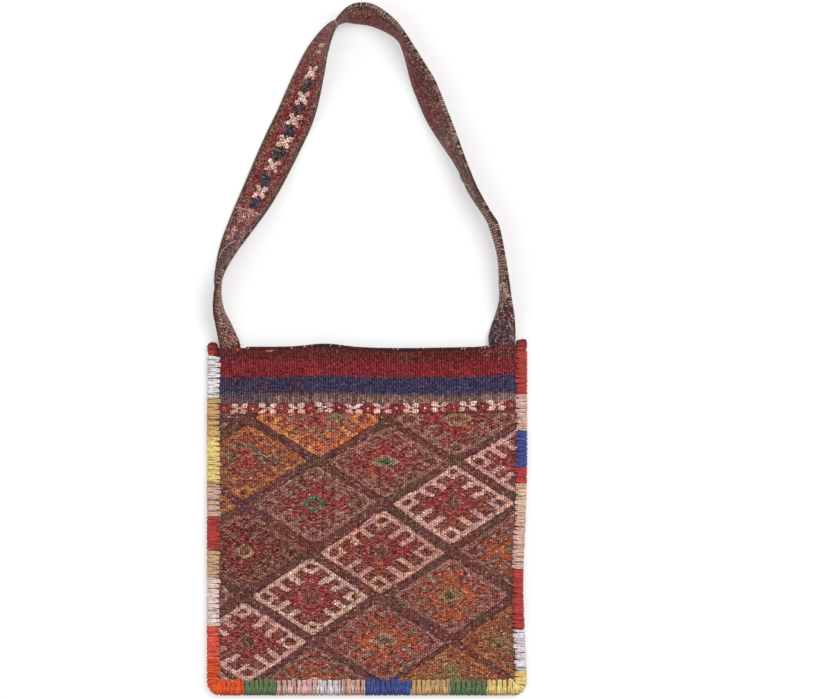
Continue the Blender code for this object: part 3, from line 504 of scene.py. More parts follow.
def streaks(shape, length, seed):
    """Random numbers that stay the same down short runs of a column."""
    rows, columns = shape
    start = (chance(columns, seed) * length).astype(int)
    block = (np.arange(rows)[:, None] + start[None, :]) // length
    return chance((rows // length + 2, columns), seed + 1)[block, np.arange(columns)[None, :]]


def hand_spun(colours, seed, spread=0.22, dark=0.10, light=0.05):
    """Uneven dye and spinning: each stitch a little lighter or darker, some much more so."""
    shape = colours.shape[:-1]
    value = np.exp((chance(shape, seed) + streaks(shape, 4, seed + 500) - 1) * 2 * spread)
    pick = chance(shape, seed + 2)
    value = np.where(pick < dark, value * 0.42, value)[..., None] ** DEEPENING
    warm = 1 + (chance(shape, seed + 3) - 0.5)[..., None] * np.array((0.16, -0.12, -0.18))
    return np.clip(mix(colours * value * warm, ("fuzz", (pick > 1 - light) * 0.22)), 0.004, 0.95)


def odd_yarns(colours, x, y):
    """The colours with the weaver's odd yarns in their places."""
    for middle_x, middle_y, half_x, half_y, name, share in ODD_PLACES:
        here = ((x - middle_x) / half_x) ** 2 + ((y - middle_y) / half_y) ** 2 < 1
        colours = mix(colours, (name, here * share))
    return colours


def lattice_place(x, y):
    """Coordinates along the two slanted directions: a diamond's middle is at even whole numbers."""
    for middle_x, middle_y, reach, aside, above in SWAYS:
        sway = np.exp(-(((x - middle_x) ** 2 + (y - middle_y) ** 2) / reach**2))
        x, y = x - aside * sway, y - above * sway
    numbers, heights, middles, halves = np.array(sorted(LATTICE_ROWS, key=lambda row: row[1])).T
    up = np.interp(y, heights, numbers)
    across = (x - np.interp(y, heights, middles)) / np.interp(y, heights, halves)
    return across + up, across - up


def of_diamond(numbers, i, j):
    """Whether places belong to the diamond with those two numbers."""
    return (i == numbers[0]) & (j == numbers[1])


def diamond_figure(s, t):
    """What is drawn at each place of the lattice.

    Gives the diamond's two numbers, how far out of it the place is, the place's distances across and
    up from the figure's middle, how deep inside the drawn lines it is, and whether it is in an eye.
    """
    i, j = np.round(s / 2).astype(int), np.round(t / 2).astype(int)
    ds, dt = s - 2 * i, t - 2 * j
    pulled, shifted = np.zeros((2, 4, *s.shape))
    for numbers, strays in DIAMOND_SIDES.items():
        for values, stray in zip((pulled, shifted), strays):
            values[:, of_diamond(numbers, i, j)] = np.array(stray)[:, None]
    deep_s = np.maximum(abs(ds) + np.where(ds > 0, pulled[0], pulled[1]), 0)
    deep_t = np.maximum(abs(dt) + np.where(dt > 0, pulled[2], pulled[3]), 0)
    deep = (deep_s**BLUNTNESS + deep_t**BLUNTNESS) ** (1 / BLUNTNESS)
    for numbers, (aside, above) in FIGURE_SHIFTS.items():
        here = of_diamond(numbers, i, j) * 1.0
        ds, dt = ds - here * (aside + above), dt - here * (aside - above)
    across, up = abs(ds + dt) / 2, abs(ds - dt) / 2
    eye_across = abs(np.where(across > up, across - EYE_ACROSS, across))
    eye_up = abs(np.where(across > up, up, up - EYE_UP))
    eye = 1 - eye_across / EYE_SIZE[0] - eye_up / EYE_SIZE[1]
    eye_dot = (eye_across / EYE_DOT[0]) ** 1.4 + (eye_up / EYE_DOT[1]) ** 1.4 < 1
    wander = ((chance((32, 32, 2), 71) - 0.5) * 0.07)[i % 32, j % 32]
    beside_s = TOOTH_HALF - abs(abs(ds - np.where(dt > 0, shifted[2], shifted[3])) - TOOTH_OFFSET)
    beside_t = TOOTH_HALF - abs(abs(dt - np.where(ds > 0, shifted[0], shifted[1])) - TOOTH_OFFSET)
    tooth_s = np.minimum(beside_s, abs(dt) - TOOTH_REACH - wander[..., 0] * np.sign(ds))
    tooth_t = np.minimum(beside_t, abs(ds) - TOOTH_REACH - wander[..., 1] * np.sign(dt))
    outline = deep - (1 - BAND_SHARE - OUTLINE_SHARE)
    ink = np.maximum(np.maximum(tooth_s, tooth_t), np.maximum(outline, eye * 0.2))
    return i, j, deep, across, up, ink, eye_dot & (outline < 0)


def diamond_colours(x, y):
    """Colour of each stitch of the lattice, with painted shade beside the drawn lines and at the
    bands' edges; how far it stands up, how it slants and where it is lined.

    The height is 0 in the bands and 1 on a diamond. The slant is 1 or -1, towards the diamond's
    middle. Lined stitches, in the eyes and middles, show the dark warp beside them.
    """
    s, t = lattice_place(x, y)
    i, j, deep, across, up, ink, eye_dot = diamond_figure(s, t)
    past_edge = deep - (1 - BAND_SHARE)
    to_s, to_t = abs(s - 2 * i), abs(t - 2 * j)
    drawn = (ink > 0) & ~eye_dot
    pocket = (np.maximum(to_s, to_t) > TOOTH_REACH + POCKET_MARGIN) & ~drawn & ~eye_dot
    # A narrow rim just outside the drawn lines, which gets painted shade
    line_shade = (ink <= 0) & (ink > -LINE_SHADE_REACH)
    warm, fine = patches(x, y, 0.019, 5), patches(x, y, 0.006, 6)
    other_share = smooth((0.5 * warm + 0.5 * fine - 0.40) * 5)
    grey_share = smooth((patches(x, y, 0.009, 9) - 0.68) * 7) * 0.4
    line_share = smooth((patches(x, y, 0.011, 10) - 0.4) * 4)
    colours = np.zeros((*x.shape, 3))
    for diagonal, yarns in DIAMOND_YARNS.items():
        line, other_line, field, other_field, deep_field = yarns
        field = mix(field, (other_field, other_share), ("grey_mauve", grey_share)) * FIELD_TONE
        line = mix(line, (other_line, line_share)) * LINE_TONES[diagonal]
        painted = mix(
            field,
            (mix(field, (deep_field, 0.30 + 0.5 * fine)) * 1.08, pocket),
            (mix(deep_field, ("brick", 0.4)), eye_dot),
            (line, drawn),
        )
        colours = mix(colours, (painted, np.clip(j, -3, 3) == diagonal))
    for numbers, tone in DIAMOND_TONES.items():
        colours[of_diamond(numbers, i, j)] *= tone
    colours[drawn & of_diamond(FAINT_DIAMOND, i, j)] *= FAINT_LINE_LIFT
    colours = mix(
        colours,
        ("pale_olive", (drawn & (j == 0) & (patches(x, y, 0.014, 17) > 0.76)) * 0.3),
        ("brick", (drawn & (j != 0) & (chance(x.shape, 27) < 0.06)) * 0.4),
    )
    # Painted shade in the rim just outside the drawn lines
    colours = colours * np.where(eye_dot, 1.02, np.where(line_shade, 0.54, 1.0))[..., None]
    ring_deep = np.full(x.shape, 9.0)
    for numbers, (ring, dot, share, half_across, half_up) in CENTRE_YARNS.items():
        here = of_diamond(numbers, i, j)
        round_deep = (across / half_across) ** RING_ROUNDNESS + (up / half_up) ** RING_ROUNDNESS
        ring_deep = np.where(here, round_deep ** (1 / RING_ROUNDNESS), ring_deep)
        in_ring, in_dot = here & (ring_deep < 1), here & (ring_deep < CENTRE_DOT)
        colours = mix(colours, (ring, in_ring * share), (dot, in_dot * share))
    band = mix(
        "band_brown",
        ("band_olive", smooth((patches(x, y, 0.014, 7) - 0.45) * 4) * 0.8),
        ("band_purple", smooth((patches(x, y, 0.017, 8) - 0.5) * 5) * 0.8),
    )
    # Painted shade: the bands darker next to the raised diamonds, lighter away from them
    band = band * (0.72 + 0.56 * smooth(past_edge / 0.05))[..., None]
    colours = mix(odd_yarns(colours, x, y), (band, past_edge > 0))
    slant = np.where(to_s > to_t, 1, -1)
    lined = eye_dot | (ring_deep < CENTRE_DOT + 0.2)
    return colours, 1 - smooth((past_edge + 0.02) / 0.05), slant, lined


def stripe_colours(x, y):
    """Yarn of the ribbed stripes under the mouth and of the ground of the border row."""
    rib = np.floor(x / RIB_PITCH).astype(int) % 4096
    ragged = (chance(4096, 16)[rib] - 0.5) * 0.0010 + (patches(x, y, 0.005, 11) - 0.5) * 0.0016
    level = y + ragged + (chance(x.shape, 18) - 0.5) * 0.0018
    specks = chance(x.shape, 19)
    brownish = smooth((patches(x, y, 0.018, 20) - 0.4) * 3) * 0.5
    colours = mix(STRIPES[0][0], (DYES["ground"] * 0.8, brownish))
    for (_, top), (name, _) in zip(STRIPES, STRIPES[1:]):
        colours = mix(colours, (name, smooth((top + 0.0012 - level) / 0.0024)))
    red = smooth((-0.0115 - level) / 0.001) * smooth((level + 0.0270) / 0.001)
    bright = smooth((patches(x, y, 0.013, 12) - 0.40) * 3) * bump(y, -0.0215, 0.004)
    blue = smooth((-0.0270 - level) / 0.001) * smooth((level + 0.0440) / 0.001)
    plum = smooth((patches(x, y, 0.016, 13) - 0.55) * 4) * smooth((-0.01 - x) / 0.05)
    left = smooth((-y - 0.038) / 0.004) * (y > STRIPES_BOTTOM) * smooth((-0.075 - x) / 0.03)
    fan = (x > 0.104) & (y > -0.0125) & (((x - 0.104) * 0.9 + y) > -0.006)
    dots = (np.floor((x * 0.7 - y) / 0.0022).astype(int) % 2 == 0) & (specks > 0.25)
    dashes = smooth((-y - 0.0405) / 0.007) * (y > STRIPES_BOTTOM)
    dashes = dashes * (0.25 + 0.75 * chance(4096, 15)[rib])
    dashes = dashes * (0.35 + 0.65 * smooth((x + 0.10) / 0.03)) * (0.7 + 0.3 * specks)
    colours = mix(
        colours,
        ("bright_madder", red * bright * 0.9),
        ("rose", red * (specks > 0.92) * 0.7),
        ("purple", blue * plum * 0.8),
        ("slate", blue * (specks > 0.84) * 0.5),
        (DYES["slate"] * 0.8, left * 0.45),
        (mix("ground", ("rose", (chance(x.shape, 26) > 0.55) * 0.6)), level < STRIPES_BOTTOM),
        ("mauve", (fan & dots) * 0.75),
        ("tan_dash", dashes * 0.8),
    )
    return odd_yarns(colours, x, y)


def material_tree(name):
    """A new node material: its tree and its Principled shader."""
    made = bpy.data.materials.new(name)
    made.use_nodes = True
    tree = made.node_tree
    return made, tree, tree.nodes["Principled BSDF"]


def feed(tree, inputs, values):
    """Gives each of a node's inputs its value: another node's socket, or a plain number."""
    for socket, value in zip(inputs, values):
        if isinstance(value, bpy.types.NodeSocket):
            tree.links.new(value, socket)
        else:
            socket.default_value = value


def math_node(tree, operation, *values, clamp=False, kind="ShaderNodeMath"):
    """A Math node fed by sockets or plain numbers; gives its output."""
    node = tree.nodes.new(kind)
    node.operation = operation
    if clamp:
        node.use_clamp = True
    feed(tree, node.inputs, values)
    return node.outputs[0]


def noise_node(tree, vector, scale, detail=2.0, roughness=0.6):
    """A noise texture over a vector; gives its value from 0 to 1."""
    node = tree.nodes.new("ShaderNodeTexNoise")
    names = ("Vector", "Scale", "Detail", "Roughness")
    feed(tree, (node.inputs[name] for name in names), (vector, scale, detail, roughness))
    return node.outputs["Fac"]


def between(tree, value, low, high, new_low, new_high):
    """A value mapped from one range to another and held within it; gives the new value."""
    node = tree.nodes.new("ShaderNodeMapRange")
    names = ("Value", "From Min", "From Max", "To Min", "To Max")
    feed(tree, (node.inputs[name] for name in names), (value, low, high, new_low, new_high))
    return node.outputs["Result"]


def wool(name, groove_shade, groove_width=0.22, rows=0.5, twist=0.0, contrast=1.0, fuzz=0.10, strokes=None):
    """Matte wool coloured by the piece's own yarn attribute.

    Its map named stitch counts stitches across and along, and the gaps between them are lower and
    darker with painted shade, as deep as the groove shade sets. A twist draws the plies of a spun
    yarn instead, across and round each turn, with the same painted shade between them. Contrast
    sets how uneven the spinning is, and the fuzz and sheen setting how much pale loose fibres and a
    painted highlight brighten the stitches' raised middles in places. Strokes, where given, are how
    many uneven places there are to a stitch, across and along.
    """
    made, tree, shader = material_tree(name)

    def times(first, second, **options):
        return math_node(tree, "MULTIPLY", first, second, **options)

    def plus(first, second):
        return math_node(tree, "ADD", first, second)

    yarn = tree.nodes.new("ShaderNodeAttribute")
    yarn.attribute_name = "yarn"
    roughness = yarn.outputs["Alpha"]
    stitch = tree.nodes.new("ShaderNodeUVMap")
    stitch.uv_map = "stitch"
    stitch = stitch.outputs["UV"]
    parts = tree.nodes.new("ShaderNodeSeparateXYZ")
    tree.links.new(stitch, parts.inputs[0])
    x, y = parts.outputs["X"], parts.outputs["Y"]
    place = tree.nodes.new("ShaderNodeTexCoord").outputs["Object"]
    fibre = noise_node(tree, place, 2200.0, 3.0)
    cloud = noise_node(tree, place, 240.0, 2.0)
    if strokes:
        stretched = times(stitch, (*strokes, 0.0), kind="ShaderNodeVectorMath")
        grit = noise_node(tree, stretched, 1.0, 2.0, 0.75)
    else:
        grit = noise_node(tree, place, 560.0, 2.0, 0.75)
    if twist:
        ply = plus(times(x, twist), y)
        high = times(math_node(tree, "PINGPONG", ply, 0.5), 2.0)
    else:
        across, along = (math_node(tree, "PINGPONG", part, 0.5) for part in (x, y))
        high = math_node(tree, "DIVIDE", across, groove_width, clamp=True)
        high = times(high, between(tree, along, 0.0, groove_width * 1.3, 1 - rows, 1.0))
    uneven = between(tree, grit, 0.32, 0.68, -0.60 * contrast, 0.45 * contrast)
    # Painted shade: darker in the gaps between the stitches, and between the plies of twisted yarn
    shade = between(tree, high, 0.0, 1.0, 1 - groove_shade, 1.0)
    shade = times(shade, plus(times(uneven, roughness), 1.0))
    shade = times(shade, between(tree, fibre, 0.3, 0.7, 0.8, 1.2))
    shade = times(shade, between(tree, cloud, 0.3, 0.7, 0.85, 1.15))
    shades = tree.nodes.new("ShaderNodeCombineXYZ")
    powers = [math_node(tree, "POWER", shade, power) for power in DEEPENING]
    feed(tree, shades.inputs, powers)
    colour = times(yarn.outputs["Color"], shades.outputs[0], kind="ShaderNodeVectorMath")
    # Painted highlight: pale loose fibres catching the light on the stitches' raised middles
    sheen_tips = times(times(between(tree, grit, 0.48, 0.70, 0.0, fuzz * 2.6), high), roughness)
    pale = math_node(tree, "MULTIPLY_ADD", DYES["fuzz"], sheen_tips, colour, kind="ShaderNodeVectorMath")
    relief = tree.nodes.new("ShaderNodeBump")
    height = plus(plus(times(high, 0.8), times(fibre, 0.5)), times(grit, 0.8))
    names = ("Strength", "Distance", "Height")
    feed(tree, (relief.inputs[name] for name in names), (0.7, 0.0004, height))
    looks = {
        "Base Color": pale, "Normal": relief.outputs[0], "Roughness": 0.92,
        "Specular IOR Level": 0.2, "Sheen Weight": 0.12, "Sheen Roughness": 0.45,
    }
    feed(tree, (shader.inputs[name] for name in looks), looks.values())
    return made


def add_object(name, data):
    """A new object in the scene."""
    made = bpy.data.objects.new(name, data)
    bpy.context.scene.collection.objects.link(made)
    return made


def add_piece(name, points, faces, colours, stitch, finish, slot, nodes=(), rough=1.0):
    """Links a mesh as a piece: yarn colours and roughness one a face, and its stitch map one a
    corner or a point."""
    mesh = bpy.data.meshes.new(name)
    points = np.array(points, dtype=np.float32).reshape(-1, 3)
    points[:, 1] += BAG_Y
    faces = np.asarray(faces, dtype=np.int32)
    corners = faces.shape[1]
    mesh.vertices.add(len(points))
    mesh.vertices.foreach_set("co", points.ravel())
    mesh.loops.add(faces.size)
    mesh.loops.foreach_set("vertex_index", faces.ravel())
    mesh.polygons.add(len(faces))
    mesh.polygons.foreach_set("loop_start", np.arange(0, faces.size, corners, dtype=np.int32))
    mesh.update(calc_edges=True)
    mesh.validate()
    colours = np.asarray(colours, dtype=np.float32).reshape(-1, 3)
    rough = np.broadcast_to(np.asarray(rough, dtype=np.float32).reshape(-1), len(faces))
    yarn = mesh.color_attributes.new("yarn", "FLOAT_COLOR", "CORNER")
    yarn.data.foreach_set("color", np.repeat(np.column_stack([colours, rough]), corners, axis=0).ravel())
    stitch = np.asarray(stitch, dtype=np.float32).reshape(-1, 2)
    if len(stitch) == len(points):
        stitch = stitch[faces.ravel()]
    mesh.uv_layers.new(name="stitch").data.foreach_set("uv", stitch.ravel())
    mesh.shade_smooth()
    mesh.materials.append(finish)
    piece = add_object(name, mesh)
    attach(piece, "root")
    if nodes:
        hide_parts(*nodes)
    return piece


def grid_faces(rows, columns, wrap=False):
    """Quads of a grid of points, numbered row by row; wrap joins the last column to the first."""
    last = columns if wrap else columns - 1
    row, column = np.meshgrid(np.arange(rows - 1), np.arange(last), indexing="ij")
    here, beside = row * columns + column, row * columns + (column + 1) % columns
    return np.stack([here, beside, beside + columns, here + columns], axis=-1).reshape(-1, 4)


def cloth_grid(step_x, step_y, top, bottom):
    """Flat places of a cloth's points, from the top row down."""
    columns = 4 * int(round(CLOTH_REACH / step_x / 2))
    rows = int(round((top - bottom) / step_y))
    across, down = (np.arange(columns + 1) - columns / 2) * step_x, np.arange(rows + 1) * step_y
    return np.meshgrid(across, top - down)


def make_lattice(finish):
    """The front cloth's patterned field, stitch by stitch, four faces a stitch."""
    x, y = cloth_grid(STITCH_WIDTH / 2, STITCH_HEIGHT / 2, BORDER_BOTTOM, CLOTH_BOTTOM)
    rows, columns = x.shape
    colours, cell_stands, slant, lined = diamond_colours(*settled(x[1::2, 1::2], y[1::2, 1::2]))
    on_diamond = cell_stands > 0.5
    figured = hand_spun(colours * 0.89, 21, 0.16, 0.06, 0.05)
    banded = hand_spun(colours * BAND_TONE, 24, 0.24, 0.04, 0.03)
    colours = mix(banded, (figured, on_diamond))
    fine, slant, lined, rough, on_diamond = (
        values.repeat(2, axis=0).repeat(2, axis=1)[: rows - 1, : columns - 1]
        for values in (colours, slant, lined, 0.45 + 0.55 * cell_stands, on_diamond)
    )
    # On the diamonds each stitch's left half is painted darker and its right half lighter, as painted
    # shade and light; on lined stitches the left half is darker still, where the dark warp shows
    warp_and_shade_half = np.arange(columns - 1) % 2 == 0
    half_shading = np.where(lined, np.where(warp_and_shade_half, 0.34, 1), np.where(warp_and_shade_half, 0.68, 1.22))
    fine = fine * np.where(on_diamond, half_shading, 1)[..., None] ** DEEPENING
    face_x, face_y = (x[1:, 1:] + x[:-1, :-1]) / 2, (y[1:, 1:] + y[:-1, :-1]) / 2
    stroke = np.floor((face_y - BORDER_BOTTOM + slant * STROKE_SLOPE * face_x) / STITCH_HEIGHT)
    stroke = stroke.astype(int) % 1024
    part = np.floor(face_x / STITCH_WIDTH / STROKE_STITCHES + chance(1024, 28)[stroke])
    luck = chance((1024, 64), 29)[stroke, part.astype(int) % 64]
    calm = np.clip(1.3 - 2.2 * fine[..., 1], 0.35, 1)
    value = np.exp((luck - 0.5) * 2 * STROKE_SPREAD * calm)
    fine = fine * np.where(on_diamond, value, 1)[..., None] ** DEEPENING
    _, stands, _, _ = diamond_colours(*settled(x, y))
    across, down = (np.arange(columns) % 2)[None, :], (np.arange(rows) % 2)[:, None]
    puff = 0.25 * across + 0.20 * down + 0.12 * across * down
    uneven = patches(x, y, 0.0022, 22) * 0.25
    height = DIAMOND_RISE * stands + STITCH_RISE * (puff + uneven) * (0.4 + 0.6 * stands)
    height = height * relief_room(x, y) + swell(x, y)
    points = placed(x, y, front_top(x, y) + height)
    faces = grid_faces(rows, columns)[:, ::-1]
    stitch = np.stack([x / STITCH_WIDTH, (y - BORDER_BOTTOM) / STITCH_HEIGHT], axis=-1)
    stitch = stitch.reshape(-1, 2)[faces]
    # Painted shade in the gaps round each stitch: fainter at its sides on the diamonds, where its rows
    # follow the strokes, and fainter between its rows in the bands, which look ribbed
    slant, on_diamond = slant.reshape(-1, 1), on_diamond.reshape(-1, 1)
    corner = stitch.min(axis=1, keepdims=True)
    middle = np.floor(corner + 0.25) + 0.5
    from_x, from_y = np.moveaxis(stitch - middle, -1, 0)
    open_x = middle[..., 0] + from_x * np.where(on_diamond, OPEN_ACROSS, RIB_ACROSS)
    strokes_y = stitch[..., 1] + slant * STROKE_SLOPE * x.reshape(-1)[faces] / STITCH_HEIGHT
    ribs_y = middle[..., 1] + from_y * RIB_ROWS
    stitch = np.stack([open_x, np.where(on_diamond, strokes_y, ribs_y)], axis=-1)
    look = (points, faces, fine, stitch, finish)
    return add_piece("front_panel_weave", *look, "kilim_front", ["front_panel"], rough)


def rib_cells(x, y):
    """Middles of a ribbed cloth's stitches, each a rib wide and a row of points high."""
    return x[1:, 1::2], (y[1:, 1::2] + y[:-1, 1::2]) / 2


def rib_crest(x):
    """1 along the middles of a ribbed cloth's ribs and 0 between them."""
    return (np.arange(x.shape[1]) % 2)[None, :]


def add_ribbed(name, x, y, z, colours, finish, slot, node, lean=0.0):
    """A ribbed cloth with one colour a stitch, as a piece; lean is how far its stitches slant."""
    rows, columns = x.shape
    faces = grid_faces(rows, columns)
    if node == "front_panel":
        faces = faces[:, ::-1]
    fine = colours.repeat(2, axis=1)[:, : columns - 1]
    stitch = np.stack([x / RIB_PITCH + lean, y / WEFT_PITCH], axis=-1)
    return add_piece(name, placed(x, y, z), faces, fine, stitch, finish, slot, [node])


def make_stripes(finish):
    """The ribbed stripes from the mouth to the border row."""
    x, y = cloth_grid(RIB_PITCH / 2, WEFT_PITCH, 0.0, BORDER_BOTTOM - STITCH_HEIGHT / 2)
    colours = hand_spun(stripe_colours(*rib_cells(x, y)), 31, spread=0.18, dark=0.08, light=0)
    height = RIB_RISE * rib_crest(x) + 0.0003 * patches(x, y, 0.0020, 32)
    height = (height * relief_room(x, y) + swell(x, y)) * smooth((-y - 0.0005) / 0.003)
    z = front_top(x, y) + height
    lean = 0.25 * np.sin(y / 0.0045 + x / 0.019) * 0.25
    name = "front_panel_stripes"
    return add_ribbed(name, x, y, z, colours, finish, "kilim_front", "front_panel", lean)


def puff_mesh(middles, sizes, turned, colours):
    """Small oval floats of yarn, each turned about the upright: points, faces, colours and map."""
    turns, levels = 12, 6
    around = np.arange(turns) * 2 * math.pi / turns
    tilt = np.linspace(-0.35, 1, levels) * math.pi / 2
    round_tilt = (np.outer(np.cos(tilt), np.cos(around)), np.outer(np.cos(tilt), np.sin(around)))
    shape = np.stack([*round_tilt, np.outer(np.sin(tilt), np.ones(turns))], axis=-1).reshape(-1, 3)
    middles, sizes, turned = (np.asarray(values) for values in (middles, sizes, turned))
    across, up, high = np.moveaxis(shape[None] * sizes[:, None, :], -1, 0)
    cosine, sine = np.cos(turned)[:, None], np.sin(turned)[:, None]
    local = np.stack([across * cosine - up * sine, across * sine + up * cosine, high], axis=-1)
    points = middles[:, None, :] + local
    ring = grid_faces(levels, turns, wrap=True)
    faces = np.concatenate([ring + k * len(shape) for k in range(len(middles))])
    tint = np.repeat(np.asarray(colours), len(ring), axis=0)
    stitch = np.stack([points[..., 0] / STITCH_WIDTH, 0.5 + 0 * points[..., 0]], axis=-1)
    return points.reshape(-1, 3), faces, tint, stitch.reshape(-1, 2)


def make_border_figures(finish):
    """The border row: crosses of four pale floats, and small red flowers with a pale middle."""
    middles, sizes, turned, colours = [], [], [], []
    spots = chance((64, 16), 41)

    def float_at(x, y, half_width, half_height, turn, colour, lift=0.0, lobes=1):
        """One float of yarn, or two beside each other as its lobes."""
        for lobe in range(lobes):
            above = (2 * lobe - lobes + 1) / lobes * half_height * 0.9
            stray = chance(2, int(abs(x * 7919 + y * 104729) * 1000) + lobe) - 0.5
            lobe_x = np.array(x + stray[0] * half_width * 0.8 * (lobes > 1))
            lobe_y = np.array(y + above)
            middles.append(placed(lobe_x, lobe_y, front_top(lobe_x, lobe_y) + 0.0006 + lift))
            height = half_height / lobes * 1.45 if lobes > 1 else half_height
            sizes.append((half_width, height, FLOAT_HEIGHT))
            turned.append(turn)
            colours.append(np.clip(colour * (1 + stray[1] * 0.6 * (lobes > 1)), 0, 0.9))

    def cross_at(x, y, k, luck):
        """Four pale double floats round a bar with a dark spot."""
        for number, (side, up) in enumerate(((-1, 1), (1, 1), (-1, -1), (1, -1))):
            shift, tone = (luck[4 + number] - 0.5) * 0.0012, luck[8 + number]
            pale = mix("bone", ("lilac" if tone > 0.8 else "pale", tone * 0.8))
            pale = pale * (0.92 + 0.3 * luck[number])
            if number == k % 4 and tone > 0.72:
                pale = DYES["salmon"]
            width = 0.0031 + 0.0007 * luck[(3 * number) % 16]
            height = 0.0017 + 0.0005 * luck[(5 * number + 2) % 16]
            middle = (x + side * 0.0046 + shift, y + up * 0.0026)
            float_at(*middle, width, height, 0.14 * side * up, pale, lobes=2)
        float_at(x, y + 0.0004, 0.0030, 0.0010, 0.0, DYES["pale"] * 0.85, 0.0003)
        float_at(x + 0.0003, y - 0.0012, 0.0008, 0.0008, 0.0, DYES["dark"], 0.0005)

    def flower_at(x, y, k, luck):
        """Eight red floats round a pale middle."""
        red = mix("rose", ("crimson", luck[12])) * (0.5 + 0.45 * luck[13])
        for side, up in FLOWER_FLOATS:
            tone = spots[k + 8, int(abs(side * 3 + up * 5)) % 16]
            middle = (x + side * 0.0019 + (tone - 0.5) * 0.0020, y + up * 0.0017)
            float_at(*middle, 0.0023, 0.0015, 0.6 * side, red * (0.7 + 0.8 * tone))
        float_at(x, y, 0.0013, 0.0011, 0.0, DYES["pale" if luck[14] > 0.25 else "salmon"], 0.0004)

    for k in range(-5, 6):
        luck = spots[k + 8]
        x = k * FIGURE_PITCH - 0.0125
        y = FIGURE_Y + 0.0027 * smooth(x / 0.14) + (luck[0] - 0.5) * 0.0008
        if abs(x) < INNER_HALF_WIDTH - 0.008:
            cross_at(x, y, k, luck)
        x += FIGURE_PITCH / 2
        if abs(x) < INNER_HALF_WIDTH - 0.004:
            flower_at(x, y, k, luck)
    mesh = puff_mesh(middles, sizes, turned, colours)
    return add_piece("border_figures", *mesh, finish, "kilim_front")


def tube_mesh(paths, sides, radius, colours, flat=1.0, turns=6):
    """Round yarns along many paths of equal length: points, faces, face colours and stitch map.

    paths is yarns by points by 3, and sides gives for each point the direction across the yarn that
    its flattened section keeps.
    """
    yarns, count, _ = paths.shape
    along = np.gradient(paths, axis=1)
    along /= np.linalg.norm(along, axis=-1, keepdims=True) + 1e-12
    normal = np.cross(along, sides)
    normal /= np.linalg.norm(normal, axis=-1, keepdims=True) + 1e-12
    across = np.cross(normal, along)
    angle = (np.arange(turns) * 2 * math.pi / turns)[None, None, :, None]
    ring = across[:, :, None, :] * np.cos(angle) + normal[:, :, None, :] * np.sin(angle) * flat
    points = paths[:, :, None, :] + ring * radius
    one = grid_faces(count, turns, wrap=True)
    faces = (one[None] + (np.arange(yarns) * count * turns)[:, None, None]).reshape(-1, 4)
    tint = np.repeat(np.asarray(colours), len(one), axis=0)
    steps = np.linalg.norm(np.diff(paths, axis=1, prepend=paths[:, :1]), axis=-1)
    run = np.cumsum(steps, axis=1) / 0.001
    shape = (yarns, count - 1, turns)
    near, far = (np.broadcast_to(part[..., None], shape) for part in (run[:, :-1], run[:, 1:]))
    low = np.broadcast_to(np.arange(turns) / turns, shape)
    corners = [(near, low), (near, low + 1 / turns), (far, low + 1 / turns), (far, low)]
    stitch = np.stack([np.stack(pair, axis=-1) for pair in corners], axis=3).reshape(-1, 2)
    return points.reshape(-1, 3), faces, tint, stitch


def join_meshes(*parts):
    """One mesh from several: each is points, faces, face colours and a stitch map one a corner."""
    start, points, faces, tints, maps = 0, [], [], [], []
    for part_points, part_faces, tint, stitch in parts:
        points.append(part_points)
        faces.append(part_faces + start)
        tints.append(tint)
        maps.append(stitch)
        start += len(part_points)
    return tuple(np.concatenate(values) for values in (points, faces, tints, maps))


def seam_lengths():
    """Lengths of the seam's middle line: down a side, round a corner and along the bottom."""
    arc = math.pi / 2 * (CORNER_RADIUS - BINDING_WIDTH / 2)
    return BAG_HEIGHT - CORNER_RADIUS, arc, BAG_WIDTH - 2 * CORNER_RADIUS


def seam_place(s):
    """Middle of the binding and its outward direction, s along the seam from the left of the mouth."""
    half = (BAG_WIDTH - BINDING_WIDTH) / 2
    radius = CORNER_RADIUS - BINDING_WIDTH / 2
    side, arc, bottom = seam_lengths()
    if s < side:
        return (-half, -s), (-1, 0)
    if s < side + arc:
        turned = (s - side) / radius
        out = (-math.cos(turned), -math.sin(turned))
        return (-half + radius + radius * out[0], -side + radius * out[1]), out
    if s <= side + arc + bottom / 2:
        return (s - side - arc - bottom / 2, -side - radius), (0, -1)
    (x, y), (out_x, out_y) = seam_place(2 * side + 2 * arc + bottom - s)
    return (-x, y), (-out_x, out_y)


def beside_seam(s, out):
    """A flat place of the cloth, s along the seam and out from its middle."""
    (x, y), (out_x, out_y) = seam_place(s)
    return np.array(x + out_x * out), np.array(y + out_y * out)


def wrap_place(s, out, up):
    """A point of the wrapping, s along the seam, out from its middle and up from the seam's height."""
    return placed(*beside_seam(s, out), SEAM_HEIGHT + up)


def wrap_turn(s, inner_s, reach_top, reach_under, inset):
    """Path of one turn of yarn over the seam, from the front cloth round the edge to the back cloth."""
    half_width, half_height = BINDING_WIDTH / 2 - inset, BINDING_HALF - inset
    lean = s - inner_s
    path = []
    start = -BINDING_WIDTH / 2 - reach_top
    for out, stay, lift in (
        (start, 1, -0.0003), (start * 0.94, 0.7, 0.0012), (start / 2 - half_width * 0.4, 0.5, 0.0012)
    ):
        level = front_top(*beside_seam(inner_s, out))
        path.append(wrap_place(inner_s * stay + s * (1 - stay), out, level - SEAM_HEIGHT + lift))
    section = [
        (share, half_height * (1 - abs(share) ** BINDING_FULLNESS) ** (1 / BINDING_FULLNESS))
        for share in WRAP_SHARES
    ]
    for share, up in section:
        path.append(wrap_place(s - lean * 0.75 * ((1 - share) / 2) ** 3, half_width * share, up))
    for share, up in reversed(section):
        path.append(wrap_place(s, half_width * share, -up))
    finish = -BINDING_WIDTH / 2 - reach_under
    level = back_bottom(*beside_seam(inner_s, finish)) - SEAM_HEIGHT
    path.append(wrap_place(inner_s * 0.5 + s * 0.5, finish * 0.95, level - 0.0002))
    path.append(wrap_place(inner_s, finish, level + 0.0006))
    return path


